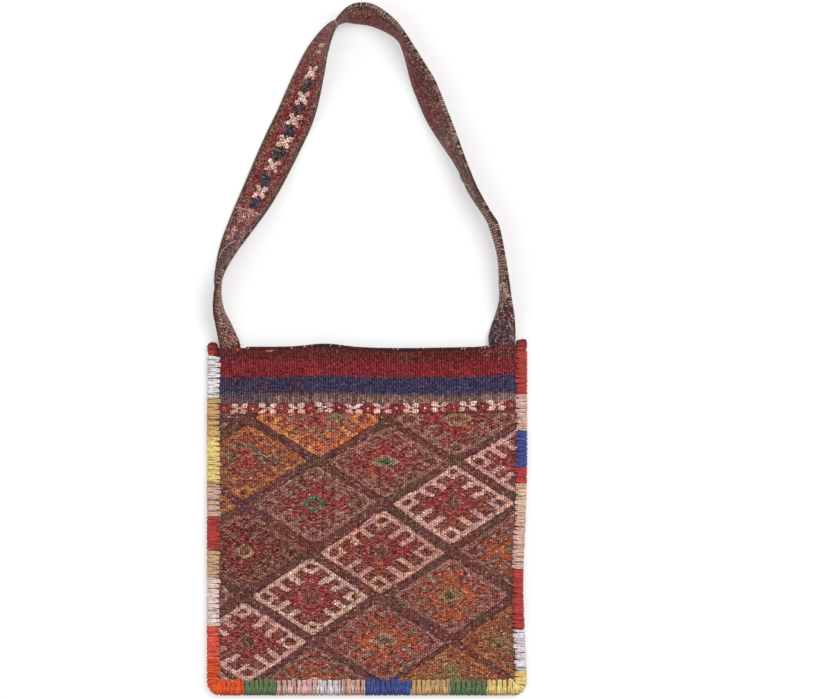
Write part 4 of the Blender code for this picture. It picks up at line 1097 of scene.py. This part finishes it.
def wrap_core(first, last, colour):
    """What is wrapped: a smaller lofted body, coloured as painted shade and seen as dark lines
    between the turns.
    """
    count = max(3, int((last - first) / 0.004) + 1)
    power, turns = 2 / BINDING_FULLNESS, 16
    rings = []
    for s in np.linspace(first + 0.0002, last - 0.0002, count):
        inner_share = 1 - 0.40 * max(0.0, seam_place(s)[1][0])
        for angle in np.linspace(0, 2 * math.pi, turns, endpoint=False):
            c, t = math.cos(angle), math.sin(angle)
            out = (BINDING_WIDTH / 2 - CORE_INSET[0]) * math.copysign(abs(c) ** power, c)
            up = (BINDING_HALF - CORE_INSET[1]) * math.copysign(abs(t) ** power, t)
            rings.append(wrap_place(s, out * (inner_share if c < 0 else 1), up))
    faces = grid_faces(count, turns, wrap=True)
    return np.array(rings), faces, np.tile(colour, (len(faces), 1)), np.zeros((faces.size, 2))


def make_binding(finish):
    """Each yarn length of the binding, wrapped turn by turn."""
    side, arc, bottom = seam_lengths()
    whole = 2 * side + 2 * arc + bottom
    scale = (whole - TIP_BELOW - KNOB_BELOW) / sum(length for _, length in BINDING_YARNS)
    starts = chance(512, 51)
    s = KNOB_BELOW
    for number, (name, length) in enumerate(BINDING_YARNS, start=1):
        first, last = s + CLEARANCE / 2, s + length * scale - CLEARANCE / 2
        luck = np.random.default_rng(100 + number)
        places, place = [], first + 0.0006
        while place < last - 0.0004:
            places.append(place)
            in_turn = side < place < side + arc or side + arc + bottom < place < whole - side
            place += (CORNER_WRAP_PITCH if in_turn else WRAP_PITCH) * luck.uniform(0.72, 1.32)
        paths, along, tints = [], [], []
        for k, place in enumerate(places):
            group = k // WRAP_GROUP
            together = places[min(len(places) - 1, group * WRAP_GROUP + WRAP_GROUP // 2)]
            lean = luck.normal(0, WRAP_LEAN)
            reach = WRAP_REACH[0] + WRAP_REACH[1] * starts[(group + number * 17) % 512] ** 2
            reach += luck.uniform(-0.0003, 0.0005)
            out_x, out_y = seam_place(place)[1]
            reach += BOTTOM_REACH * max(0.0, -out_y) - RIGHT_DRAW * max(0.0, out_x)
            inset = WRAP_INSET + luck.uniform(-0.0001, 0.00025)
            inner, under = place * 0.45 + together * 0.55, luck.uniform(*UNDER_REACH)
            paths.append(wrap_turn(place + lean, inner, reach, under, inset))
            ahead = wrap_place(place + 0.0005, 0, 0) - wrap_place(place - 0.0005, 0, 0)
            along.append(ahead / np.linalg.norm(ahead))
            value = luck.uniform(0.86, 1.18) * (0.6 if luck.random() < 0.07 else 1)
            tint = DYES[name] * BINDING_TONE * value * (1 + luck.uniform(-0.07, 0.07, 3))
            tints.append(np.clip(tint, 0, 0.95))
        paths = np.array(paths)
        sides = np.repeat(np.array(along)[:, None, :], paths.shape[1], axis=1)
        points, faces, tint, stitch = tube_mesh(paths, sides, WRAP_YARN, tints, flat=0.85)
        # Painted shade: the turns darker towards the bag's bottom edge, whose lower side faces away from
        # the light
        low = smooth((0.0070 - BAG_HEIGHT - points[faces][..., 1].mean(axis=1)) / 0.0060)
        turns = points, faces, tint * (1 - 0.45 * low)[:, None] ** DEEPENING, stitch
        # The core takes the yarn's own colour, darkened as painted shade between the turns
        core = wrap_core(first, last, DYES[name] * (0.72 if name in DENSE_YARNS else 0.45))
        node = f"binding_{number:02d}_{name}"
        add_piece(node + "_turns", *join_meshes(turns, core), finish, "yarn_" + name, [node])
        s += length * scale


def smooth_curve(points):
    """Closely spaced points on a smooth curve through the given ones."""
    ends = [points[0] * 2 - points[1], *points, points[-1] * 2 - points[-2]]
    curve = []
    for a, b, c, d in zip(ends, ends[1:], ends[2:], ends[3:]):
        for part in range(12):
            t = part / 12
            bend = (2 * a - 5 * b + 4 * c - d) * t**2 + (3 * b - a - 3 * c + d) * t**3
            curve.append((2 * b + (c - a) * t + bend) / 2)
    return np.array([*curve, points[-1]])


def strap_frames(step):
    """The strap in equal steps: middle points, edge and face directions, widths, cups and runs."""
    route = [np.array(place) for place in STRAP_ROUTE]
    half_in, all_in = (np.array((0, -STRAP_IN_MOUTH * share, 0)) for share in (0.5, 1.0))
    route = [route[0] + all_in, route[0] + half_in, *route, route[-1] + half_in, route[-1] + all_in]
    curve = smooth_curve(route)
    lengths = np.concatenate([[0], np.cumsum(np.hypot(*np.diff(curve[:, :2], axis=0).T))])
    whole = lengths[-1]
    runs = np.linspace(0, whole, round(whole / step) + 1)
    x, y, roll = (np.interp(runs, lengths, curve[:, k]) for k in range(3))
    along = np.stack([np.gradient(x), np.gradient(y), 0 * x], axis=-1)
    along /= np.linalg.norm(along, axis=-1, keepdims=True)
    out = np.stack([-along[:, 1], along[:, 0], 0 * x], axis=-1)
    roll = np.radians(roll)[:, None]
    above = np.array((0.0, 0.0, 1.0))
    edge = out * np.cos(roll) - above * np.sin(roll)
    face = out * np.sin(roll) + above * np.cos(roll)
    free_run = np.minimum(runs, whole - runs) - STRAP_IN_MOUTH
    end_width = np.where(runs < whole / 2, STRAP_LEFT_END_WIDTH, STRAP_END_WIDTH)
    width = end_width + (STRAP_WIDTH - end_width) * smooth(free_run / STRAP_TAPER)
    flare = 0.5 + 0.5 * smooth((free_run + 0.004) / 0.008)
    flare = flare * (1 - smooth((free_run - 0.040) / 0.04)) * (runs > whole / 2)
    width = width + STRAP_RIGHT_FLARE * flare
    cup = STRAP_CUP * abs(np.sin(roll[:, 0])) * smooth(free_run / STRAP_IN_MOUTH)
    rise = width / 2 * abs(edge[:, 2])
    level = CLEARANCE + STRAP_THICKNESS / 2 + rise + cup * abs(face[:, 2])
    inside = y - settled(x, 0 * x)[1]
    seat = back_bottom(x, np.minimum(inside, 0)) + CLOTH + 2 * CLEARANCE + STRAP_THICKNESS / 2 + rise
    level = np.where(inside < STRAP_STEP, np.maximum(level, seat), level)
    level = np.convolve(np.pad(level, 4, mode="edge"), np.ones(9) / 9, mode="valid")
    middle = np.stack([x, y, level], axis=-1)
    return middle, edge, face, width, cup, runs - STRAP_IN_MOUTH, whole - 2 * STRAP_IN_MOUTH


def strap_pattern(run, u):
    """Yarn of the strap's patterned face: run along it, u across it in metres at full width."""
    patch, spot = patches(run, u, 0.006, 61), patches(run, u, 0.0028, 62)
    streak = patches(run * 0.25, u, 0.0022, 60)
    across = u - FIGURES_U
    colours = mix(
        "strap_brown",
        ("strap_red", smooth((patch - 0.3) * 3)),
        ("strap_rust", smooth((streak - 0.6) * 6) * 0.6),
        ("strap_olive", (abs(u) > 0.0128) * 0.8),
        ("strap_dark", (abs(u - 0.0076) < 0.0011) * 0.5),
        ("strap_dark", (abs(u + 0.0096) < 0.0011) * 0.5),
    )
    light = mix(
        "strap_pink",
        ("strap_gold", (patch > 0.62) * 0.6),
        ("strap_brown", (spot < 0.10) * 0.6),
    )
    for k, place in enumerate(FIGURES):
        along = run - place
        reach = 0.0180 if k < len(FIGURES) - 1 else 0.0066
        dark = (abs(across) < 0.0063) & (along > -0.0072) & (along < reach)
        ground = mix("strap_navy", ("strap_dark", 0.3 if k % 2 == 0 else 0.9))
        bent = along + 0.0008 * np.sign(across)
        arm = np.minimum(abs(bent - across), abs(bent + across)) < 0.0031
        arm = arm & (abs(bent) < 0.0062) & (abs(across) < 0.0060)
        ground = mix(ground, ("strap_brown", (spot > 0.68) * 0.6))
        colours = mix(colours, (ground, dark), (light, arm))
    last = (abs(abs(run - LAST_FIGURE) - 0.003) < 0.002) & (abs(abs(u) - 0.003) < 0.0022)
    lines = np.sin((abs(across) + abs(run - 0.113)) / 0.0036 * 2 * math.pi)
    mottled = mix(
        "strap_red",
        ("strap_navy", smooth((0.48 - spot) * 7) * 0.8),
        ("strap_pink", smooth(lines * 2 - 0.2) * smooth((patch - 0.25) * 4) * 0.8),
        ("strap_gold", smooth((patch - 0.6) * 8) * 0.5),
    )
    plain = mix(
        "strap_brown",
        ("strap_olive", smooth((patch - 0.4) * 4) * 0.8),
        ("strap_red", smooth((spot - 0.6) * 6) * 0.5),
    )
    return mix(
        colours,
        ("pale_olive", last),
        (mottled, (run > PLAIN_END) & (run < MOTTLED_END) & (abs(u) < 0.0135)),
        ("strap_navy", (abs(run - NAVY_SPOT) < 0.0045) & (abs(u + 0.002) < 0.0055)),
        (plain * 0.54, run < PLAIN_END),
        (strap_base(run, u), run < BARS_END),
    )


def strap_base(run, u):
    """Yarn of the strap's left end: pinkish bars across a brown ground."""
    bars = np.sin((run + 0.35 * u) / 0.0032 * 2 * math.pi + 3.0 * patches(run, u, 0.006, 69))
    spot = patches(run, u, 0.0018, 62)
    return mix(
        "strap_brown",
        ("strap_dark", smooth((0.5 - spot) * 4) * 0.8),
        ("mauve", smooth((patches(run, u, 0.005, 58) - 0.45) * 5) * 0.6),
        ("strap_pink", smooth((bars * 0.6 + spot - 0.62) * 3) * 0.7),
    )


def strap_back_pattern(run, u, whole):
    """Yarn of the strap's plain face: red lengthwise on its inner side, brown on its outer side."""
    patch, spot = patches(run, u, 0.007, 63), patches(run, u, 0.0026, 65)
    streak, thread = patches(run * 0.16, u, 0.0028, 64), patches(run * 0.10, u, 0.0017, 59)
    outer = smooth((-0.003 - u) / 0.005) * smooth((run - 0.40) / 0.03)
    colours = mix(
        DYES["strap_red"] * 0.9,
        (DYES["strap_brown"] * 1.1, 0.15 + patch * 0.40),
        ("strap_rust", smooth((streak - 0.6) * 8) * 0.9),
        (DYES["madder"] * 1.15, smooth((0.42 - streak) * 9) * smooth((u + 0.004) / 0.004) * 0.7),
        (DYES["strap_olive"] * 1.25, smooth((-0.004 - u) / 0.004) * 0.7),
        ("strap_pink", (thread > 0.80) * (spot > 0.45) * 0.4),
        (DYES["strap_brown"] * 1.3, smooth((0.36 - run) / 0.04) * 0.4),
        ("strap_dark", smooth((0.26 - thread) * 9) * 0.7),
        (DYES["strap_brown"] * 0.62, outer * 0.4),
    )
    colours = colours * STRAP_BACK_TONE * np.where(run > 0.42, 0.86, 1)[..., None]
    faded = smooth((run - FADED_START) / 0.03) * (run < LADDER_START) * smooth((patch - 0.1) * 4)
    rungs = (np.arange(len(run))[:, None] % 2 == 0) & (abs(u) < 0.0155) & (spot > 0.15)
    rung = mix("strap_pink", ("strap_red", 0.1 + 0.4 * spot))
    speckled = mix(
        DYES["strap_red"] * 0.50,
        ("strap_dark", (patch > 0.5) * 0.6),
        ("strap_pink", (chance(run.shape, 93) > 0.68) * 0.6),
    )
    dark = mix(
        DYES["strap_dark"] * 1.6,
        (DYES["grey_brown"] * 1.8, smooth((spot - 0.35) * 4)),
        (DYES["purple"] * 1.5, smooth((patch - 0.6) * 6) * 0.7),
        ("strap_pink", (spot > 0.78) * 0.5),
    )
    return mix(
        colours,
        (mix(DYES["strap_olive"] * 1.3, ("strap_pink", (streak > 0.72) * 0.4)), faded * 0.75),
        (
            mix(DYES["strap_brown"] * 0.28, (rung, rungs)),
            ((run > LADDER_START) & (run < whole - LADDER_STOP)) * 0.9,
        ),
        (speckled, run > whole - SPECKLED_STOP),
        ("strap_pink", (run > 0.650) & (run < 0.664) & (u < 0.002) & (spot > 0.42)),
        (strap_base(run, u), run < BARS_END),
        (dark, run > whole - DARK_STOP),
    )


def make_strap(finish):
    """The strap: a ribbon of stitches on both faces, closed at its edges and ends."""
    middle, edge, face, width, cup, runs, whole = strap_frames(STRAP_STITCH / 2)
    columns = 2 * STRAP_CELLS + 1
    shares = np.linspace(-1, 1, columns)
    ridge = 0.00030 * (np.arange(columns) % 2)
    u = shares[None, :] * width[:, None] / 2
    sag = -cup[:, None] * (1 - shares[None, :] ** 2)
    thin = STRAP_THICKNESS / 2 * (1 - 0.35 * abs(shares) ** 6)
    rough = 0.00035 * patches(runs[:, None] + 0 * u, u, 0.0019, 66)
    wave = 0.00030 * (np.arange(len(runs)) % 2)[:, None]
    across = middle[:, None] + edge[:, None] * u[..., None]
    upper, under = (
        across + face[:, None] * (sag + up * thin + up * ridge + up * rough + up * wave)[..., None]
        for up in (1, -1)
    )
    points = np.concatenate([upper, under[:, ::-1]], axis=1)
    count = points.shape[1]
    cell_run = np.repeat(((runs[1:] + runs[:-1]) / 2)[:, None], STRAP_CELLS, axis=1)
    cell_u = np.tile((shares[1::2] * STRAP_WIDTH / 2)[None, :], (len(runs) - 1, 1))
    top = strap_pattern(cell_run, cell_u) * 1.25
    top = hand_spun(top, 67, spread=0.24, dark=0.08, light=0.06)
    back = strap_back_pattern(cell_run, cell_u, whole)
    back = hand_spun(back, 68, spread=0.20, dark=0.08, light=0.05)
    rim = np.tile(DYES["strap_olive"], (len(runs) - 1, 1, 1))
    tint = [top.repeat(2, axis=1), rim, back[:, ::-1].repeat(2, axis=1), rim]
    tint = np.concatenate(tint, axis=1).reshape(-1, 3)
    number = np.arange(count)
    column = np.where(number < columns, number / 2, (count - 1 - number) / 2)
    row = (runs / STRAP_STITCH)[:, None]
    stitch = np.stack(np.broadcast_arrays(column[None, :], row), axis=-1)
    near = np.arange(columns - 1)
    cap = np.stack([near, near + 1, count - 2 - near, count - 1 - near], axis=-1)
    faces = grid_faces(len(runs), count, wrap=True)
    faces = np.concatenate([faces, cap[:, ::-1], cap + (len(runs) - 1) * count])
    tint = np.concatenate([tint, np.tile(DYES["strap_brown"], (2 * len(cap), 1))])
    return add_piece("strap_weave", points, faces, tint, stitch, finish, "strap_weave", ["strap"])


def make_strap_edges(finish):
    """Yarn whipped over both edges of the strap, pale in places on the side with more wear."""
    parts = []
    for side, pitch, seed in STRAP_EDGES:
        middle, edge, face, width, cup, runs, whole = strap_frames(pitch)
        luck = np.random.default_rng(seed)
        along = np.cross(face, edge)
        half = width[:, None] / 2
        paths = []
        reach = STRAP_EDGE_REACH + luck.uniform(-0.0004, 0.0007, len(runs))[:, None]
        for across, up, slant in (
            (-1, 1.15, -0.4), (-0.45, 1.5, -0.2), (0.12, 1.1, 0), (0.28, 0, 0.1),
            (0.12, -1.1, 0.2), (-0.45, -1.5, 0.3), (-1, -1.15, 0.5),
        ):
            place = half + across * reach * (1 if across < 0 else 0.5)
            sag = -cup[:, None] * (1 - np.clip(place / half, 0, 1) ** 2)
            lift = sag + up * STRAP_THICKNESS / 2 * 0.8
            paths.append(middle + edge * place * side + face * lift + along * slant * pitch)
        paths = np.stack(paths, axis=1)
        sides = np.repeat(along[:, None, :], paths.shape[1], axis=1)
        tints = mix("strap_olive", ("stitch_light", 0.3 * bump(runs, 0.30, 0.05)))
        if side < 0:
            worn = sum(often * bump(runs, place, reach) for place, reach, often in WORN_PLACES)
            tints = mix(tints, (DYES["stitch_light"] * 0.9, luck.random(len(runs)) < worn))
        tints = tints * luck.uniform(0.6, 1.15, (len(runs), 1))
        keep = (runs > -0.004) & (runs < whole + 0.004)
        yarns = (paths[keep], sides[keep], STRAP_EDGE_YARN, tints[keep])
        parts.append(tube_mesh(*yarns, flat=0.75, turns=5))
    return add_piece("strap_edge_stitches", *join_meshes(*parts), finish, "strap_weave")


def pale_turn(x, pick):
    """Whether a turn of the mouth's whipping is pale: more often in some places along it."""
    near = np.any([abs(x - middle) < half for middle, half in PALE_PLACES], axis=0)
    return pick > np.where(near, 0.62, 0.93)


def make_overcast(name, node, level_at, finish, seed):
    """Yarn whipped over one edge of the mouth, dark with short pale turns in places."""
    luck = np.random.default_rng(seed)
    reach = STRAP_BASE_X - STRAP_END_WIDTH / 2 - 0.0016
    count = int(2 * reach / MOUTH_PITCH)
    x = -reach + (np.arange(count) + 0.5) * MOUTH_PITCH + luck.normal(0, 0.0002, count)
    level = level_at(x)
    depth = MOUTH_STITCH_DEPTH + luck.uniform(-0.0009, 0.0005, count)
    depth = depth * np.where(pale_turn(x, luck.random(count)), 0.55, 1)
    paths = []
    for down, up, slant in (
        (1.0, 1.25, -0.55), (0.7, 1.75, -0.4), (0.25, 1.75, -0.15), (-0.15, 1.15, 0),
        (-0.28, 0, 0.1), (-0.15, -1.15, 0.2), (0.25, -1.75, 0.3), (0.7, -1.75, 0.45),
        (1.0, -1.25, 0.6),
    ):
        y = np.where(down > 0, -down * depth, -down * OVERCAST_DEPTH)
        paths.append(placed(x + slant * MOUTH_PITCH, y, level + up * CLOTH / 2))
    paths = np.stack(paths, axis=1)
    tints = mix(
        "overcast",
        ("maroon", luck.random(count) < 0.3),
        (DYES["stitch_light"] * 0.85, depth < 0.0010),
    )
    tints = tints * luck.uniform(0.55, 1.15, (count, 1))
    sides = np.tile(np.array((1.0, 0.0, 0.0)), (*paths.shape[:2], 1))
    mesh = tube_mesh(paths, sides, MOUTH_YARN, tints, flat=0.7)
    add_piece(name, *mesh, finish, "yarn_dark_brown", [node])


def front_mouth_level(x):
    """Height of the middle of the front cloth's mouth edge."""
    return front_top(x, 0 * x) - CLOTH / 2


def back_mouth_level(x):
    """Height of the middle of the back cloth's mouth edge."""
    return back_bottom(x, 0 * x) + CLOTH / 2


def make_binding_end(name, node, side, rise, below, boxy, slot, finish):
    """An end of the binding at a mouth corner, wound with yarn: boxy is 1 for a round knob and less
    for a squared one."""
    levels, turns = 34, 32
    tilt = np.linspace(-math.pi / 2, math.pi / 2, levels)[:, None]
    around = (np.arange(turns) * 2 * math.pi / turns)[None, :]
    along = np.sin(tilt)
    spread = np.cos(tilt) ** boxy
    wound = tilt * 5.5 + around * 0.5 * side
    ridge = 1 - 0.07 * abs(np.sin(wound)) ** 3 - 0.03 * (1 + np.sin(around * 3 + tilt * 4))
    half_width, half_height = BINDING_WIDTH / 2 - 0.0001, BINDING_HALF - 0.0001
    x = side * (BAG_WIDTH - BINDING_WIDTH) / 2 + spread * np.cos(around) * ridge * half_width
    sloped = 1 - 0.12 * (1 - boxy) * (1 - side * np.cos(around))
    y = np.where(along > 0, along * rise * sloped, along * below)
    points = placed(x, y, SEAM_HEIGHT + spread * np.sin(around) * ridge * half_height)
    faces = grid_faces(levels, turns, wrap=True)
    if side < 0:
        faces = faces[:, ::-1]
    shape = (levels - 1, turns)
    place = (1 + along[:-1] + 0.25 * np.sin(around * 2 + 1)) + 0.35 * (chance(shape, 92) - 0.5)
    low, middle, top = BINDING_END_YARNS
    tint = mix(low, (middle, smooth(place * 2)), (top, smooth(place * 2.2 - 2.4)))
    tint = tint * BINDING_TONE * (1.0 + 0.6 * chance(shape, 90 + side)[..., None])
    # Painted shade in the grooves between the wound turns
    tint = tint * (1 - 0.45 * abs(np.sin(wound[:-1])) ** 3)[..., None]
    stitch = np.stack(np.broadcast_arrays(around / 0.6, tilt * 6), axis=-1)
    add_piece(name, points, faces, tint, stitch, finish, slot, [node])


def make_back_panel(finish):
    """The plain striped back cloth, seen from below and behind."""
    x, y = cloth_grid(RIB_PITCH / 2, 0.0024, 0.0, CLOTH_BOTTOM)
    cell_x, cell_y = rib_cells(x, y)
    ragged = (patches(cell_x, cell_y, 0.004, 33) - 0.5) * 0.003
    part_way = ((-cell_y + ragged) / BACK_STRIPE) % 1
    stripe = np.floor(-cell_y / BACK_STRIPE).astype(int) % len(BACK_STRIPES)
    colours = mix(
        np.stack([DYES[yarn] for yarn in BACK_STRIPES])[stripe],
        ("madder", (part_way > 0.80) & (part_way < 0.90)),
        ("tan_dash", part_way > 0.93),
    )
    colours = hand_spun(colours, 34, spread=0.14, dark=0.05, light=0.04)
    height = 0.0002 * rib_crest(x) + 0.0001 * patches(x, y, 0.0024, 35)
    z = back_bottom(x, y) + 0.0003 - height * relief_room(x, y)
    return add_ribbed("back_panel_weave", x, y, z, colours, finish, "kilim_back", "back_panel")


def make_inside(name, height_at, flip, finish, slot):
    """A cloth's inner face, seen through the mouth."""
    x, y = cloth_grid(0.006, 0.006, -0.0006, CLOTH_BOTTOM)
    rows, columns = x.shape
    faces = grid_faces(rows, columns)
    if flip:
        faces = faces[:, ::-1]
    tint = np.tile(DYES["inside"], (rows - 1, columns - 1, 1))
    tint = hand_spun(tint, 36, spread=0.1, dark=0, light=0)
    stitch = np.stack([x / RIB_PITCH, y / WEFT_PITCH], axis=-1)
    return add_piece(name, placed(x, y, height_at(x, y)), faces, tint, stitch, finish, slot)


def strap_point(frames, run, share, lift):
    """A point on the strap's surface, and its face direction: share is -1 to 1 across it."""
    middle, edge, face, width, cup, runs, _ = frames
    k = int(np.argmin(abs(runs - run)))
    sag = -cup[k] * (1 - share**2)
    return middle[k] + edge[k] * share * width[k] / 2 + face[k] * (sag + lift), face[k]


def make_loose_threads(finish):
    """Pale threads that run loose over the strap and into its edges."""
    frames = strap_frames(STRAP_STITCH / 2)
    parts = []
    lift = STRAP_THICKNESS / 2 + 0.0007
    for places in LOOSE_THREADS:
        path = []
        for step in np.linspace(0, 1, 14):
            run, share, up = (float(np.interp(step * 3, range(4), values)) for values in places)
            path.append(strap_point(frames, run, share, lift * up)[0])
        path = np.array(path)[None]
        runs, shares, _ = places
        sides = np.tile(strap_point(frames, runs[1], shares[1], 0)[1], (*path.shape[:2], 1))
        parts.append(tube_mesh(path, sides, LOOSE_THREAD, [DYES["pale"] * 0.9]))
    return add_piece("strap_loose_threads", *join_meshes(*parts), finish, "strap_weave")


def make_tacks(finish):
    """Orange-red sewing thread over the strap's ends, inside the mouth and on its front edge."""
    names = ["strap_tack_left", "strap_tack_right"]
    parts = []
    for name in names:
        low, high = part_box(name)
        steps = np.linspace(0, 5, 31)
        x = np.interp(steps, range(6), np.linspace(low.x + TACK_MARGIN, high.x - TACK_MARGIN, 6))
        y = np.where(np.floor(steps).astype(int) % 2 == 0, steps % 1, 1 - steps % 1)
        y = low.y + TACK_MARGIN + y * (high.y - low.y - 2 * TACK_MARGIN) - BAG_Y
        path = np.stack([x, y, (low.z + high.z) / 2 + 0 * x], axis=-1)[None]
        sides = np.tile(np.array((0.0, 0.0, 1.0)), (*path.shape[:2], 1))
        parts.append(tube_mesh(path, sides, TACK_THREAD, [DYES["tack_orange"]]))
    add_piece("strap_tacks", *join_meshes(*parts), finish, "thread_orange", names)


def seen_plainly(tree):
    """1 for rays that see the background itself: from the camera, in a gloss or through glass."""
    rays = tree.nodes.new("ShaderNodeLightPath").outputs
    seen = math_node(tree, "MAXIMUM", rays["Is Camera Ray"], rays["Is Glossy Ray"])
    return math_node(tree, "MAXIMUM", seen, rays["Is Transmission Ray"])


def make_floor():
    """A pale floor that keeps the bag's shadow and is seen as white."""
    mesh = bpy.data.meshes.new("floor")
    places = [(x * FLOOR_REACH, y * FLOOR_REACH, 0) for x, y in ((-1, -1), (1, -1), (1, 1), (-1, 1))]
    mesh.from_pydata(places, [], [(0, 1, 2, 3)])
    floor = add_object("floor", mesh)
    made, tree, shader = material_tree("floor_white")
    shader.inputs["Base Color"].default_value = (0.96, 0.96, 0.96, 1)
    shader.inputs["Roughness"].default_value = 0.9
    shader.inputs["Specular IOR Level"].default_value = 0.1
    white = tree.nodes.new("ShaderNodeEmission")
    blend = tree.nodes.new("ShaderNodeMixShader")
    share = math_node(tree, "MULTIPLY", seen_plainly(tree), FLOOR_GLOW)
    feed(tree, blend.inputs, (share, shader.outputs[0], white.outputs[0]))
    tree.links.new(blend.outputs[0], tree.nodes["Material Output"].inputs["Surface"])
    mesh.materials.append(made)
    floor.location.z = -FLOOR_DEPTH


def make_stage():
    """The floor, soft light and the camera, which looks straight down."""
    make_floor()
    scene = bpy.context.scene
    scene.world = bpy.data.worlds.new("studio")
    scene.world.use_nodes = True
    tree = scene.world.node_tree
    background = tree.nodes["Background"]
    glow = math_node(tree, "MULTIPLY", seen_plainly(tree), 1 - WORLD_LIGHT)
    background.inputs["Color"].default_value = (1, 1, 1, 1)
    tree.links.new(math_node(tree, "ADD", glow, WORLD_LIGHT), background.inputs["Strength"])
    for name, place, energy, size in LAMPS:
        light = bpy.data.lights.new(name, "AREA")
        light.energy = energy
        light.size = size
        lamp = add_object(name, light)
        lamp.location = place
        lamp.rotation_euler = (-Vector(place)).to_track_quat("-Z", "Y").to_euler()
    camera_data = bpy.data.cameras.new("camera")
    camera_data.lens = LENS
    camera_data.sensor_width = SENSOR
    scene.camera = add_object("camera", camera_data)
    x, y, z = VIEW_CENTRE
    scene.camera.location = (x, y, z + VIEW_WIDTH * LENS / SENSOR)
    scene.view_settings.view_transform = "Standard"


def main():
    weave = wool(
        "wool_brocade", groove_shade=0.80, groove_width=0.26, rows=0.80, contrast=1.1, fuzz=0.13,
        strokes=(0.5, 1.3),
    )
    ribs = wool("wool_ribs", groove_shade=0.70, groove_width=0.34, rows=0.15, contrast=0.9, fuzz=0.025)
    band = wool("wool_band", groove_shade=0.60, groove_width=0.28, rows=0.45, contrast=1.1, fuzz=0.08)
    yarn = wool("wool_yarn", groove_shade=0.25, twist=0.9, contrast=0.4, fuzz=0.02)
    make_stage()
    lattice = make_lattice(weave)
    stripes = make_stripes(ribs)
    figures = make_border_figures(band)
    front_inside = make_inside(
        "front_panel_inside", lambda x, y: front_top(x, y) - CLOTH, False, ribs, "kilim_front"
    )
    back_inside = make_inside(
        "back_panel_inside", lambda x, y: back_bottom(x, y) + CLOTH, True, ribs, "kilim_back"
    )
    back = make_back_panel(ribs)
    make_binding(yarn)
    for end in BINDING_ENDS:
        make_binding_end(*end, yarn)
    make_overcast("mouth_stitches_front", "mouth_overcast_front", front_mouth_level, yarn, 91)
    make_overcast("mouth_stitches_back", "mouth_overcast_back", back_mouth_level, yarn, 92)
    strap = make_strap(band)
    edges = make_strap_edges(yarn)
    threads = make_loose_threads(yarn)
    make_tacks(yarn)


main()
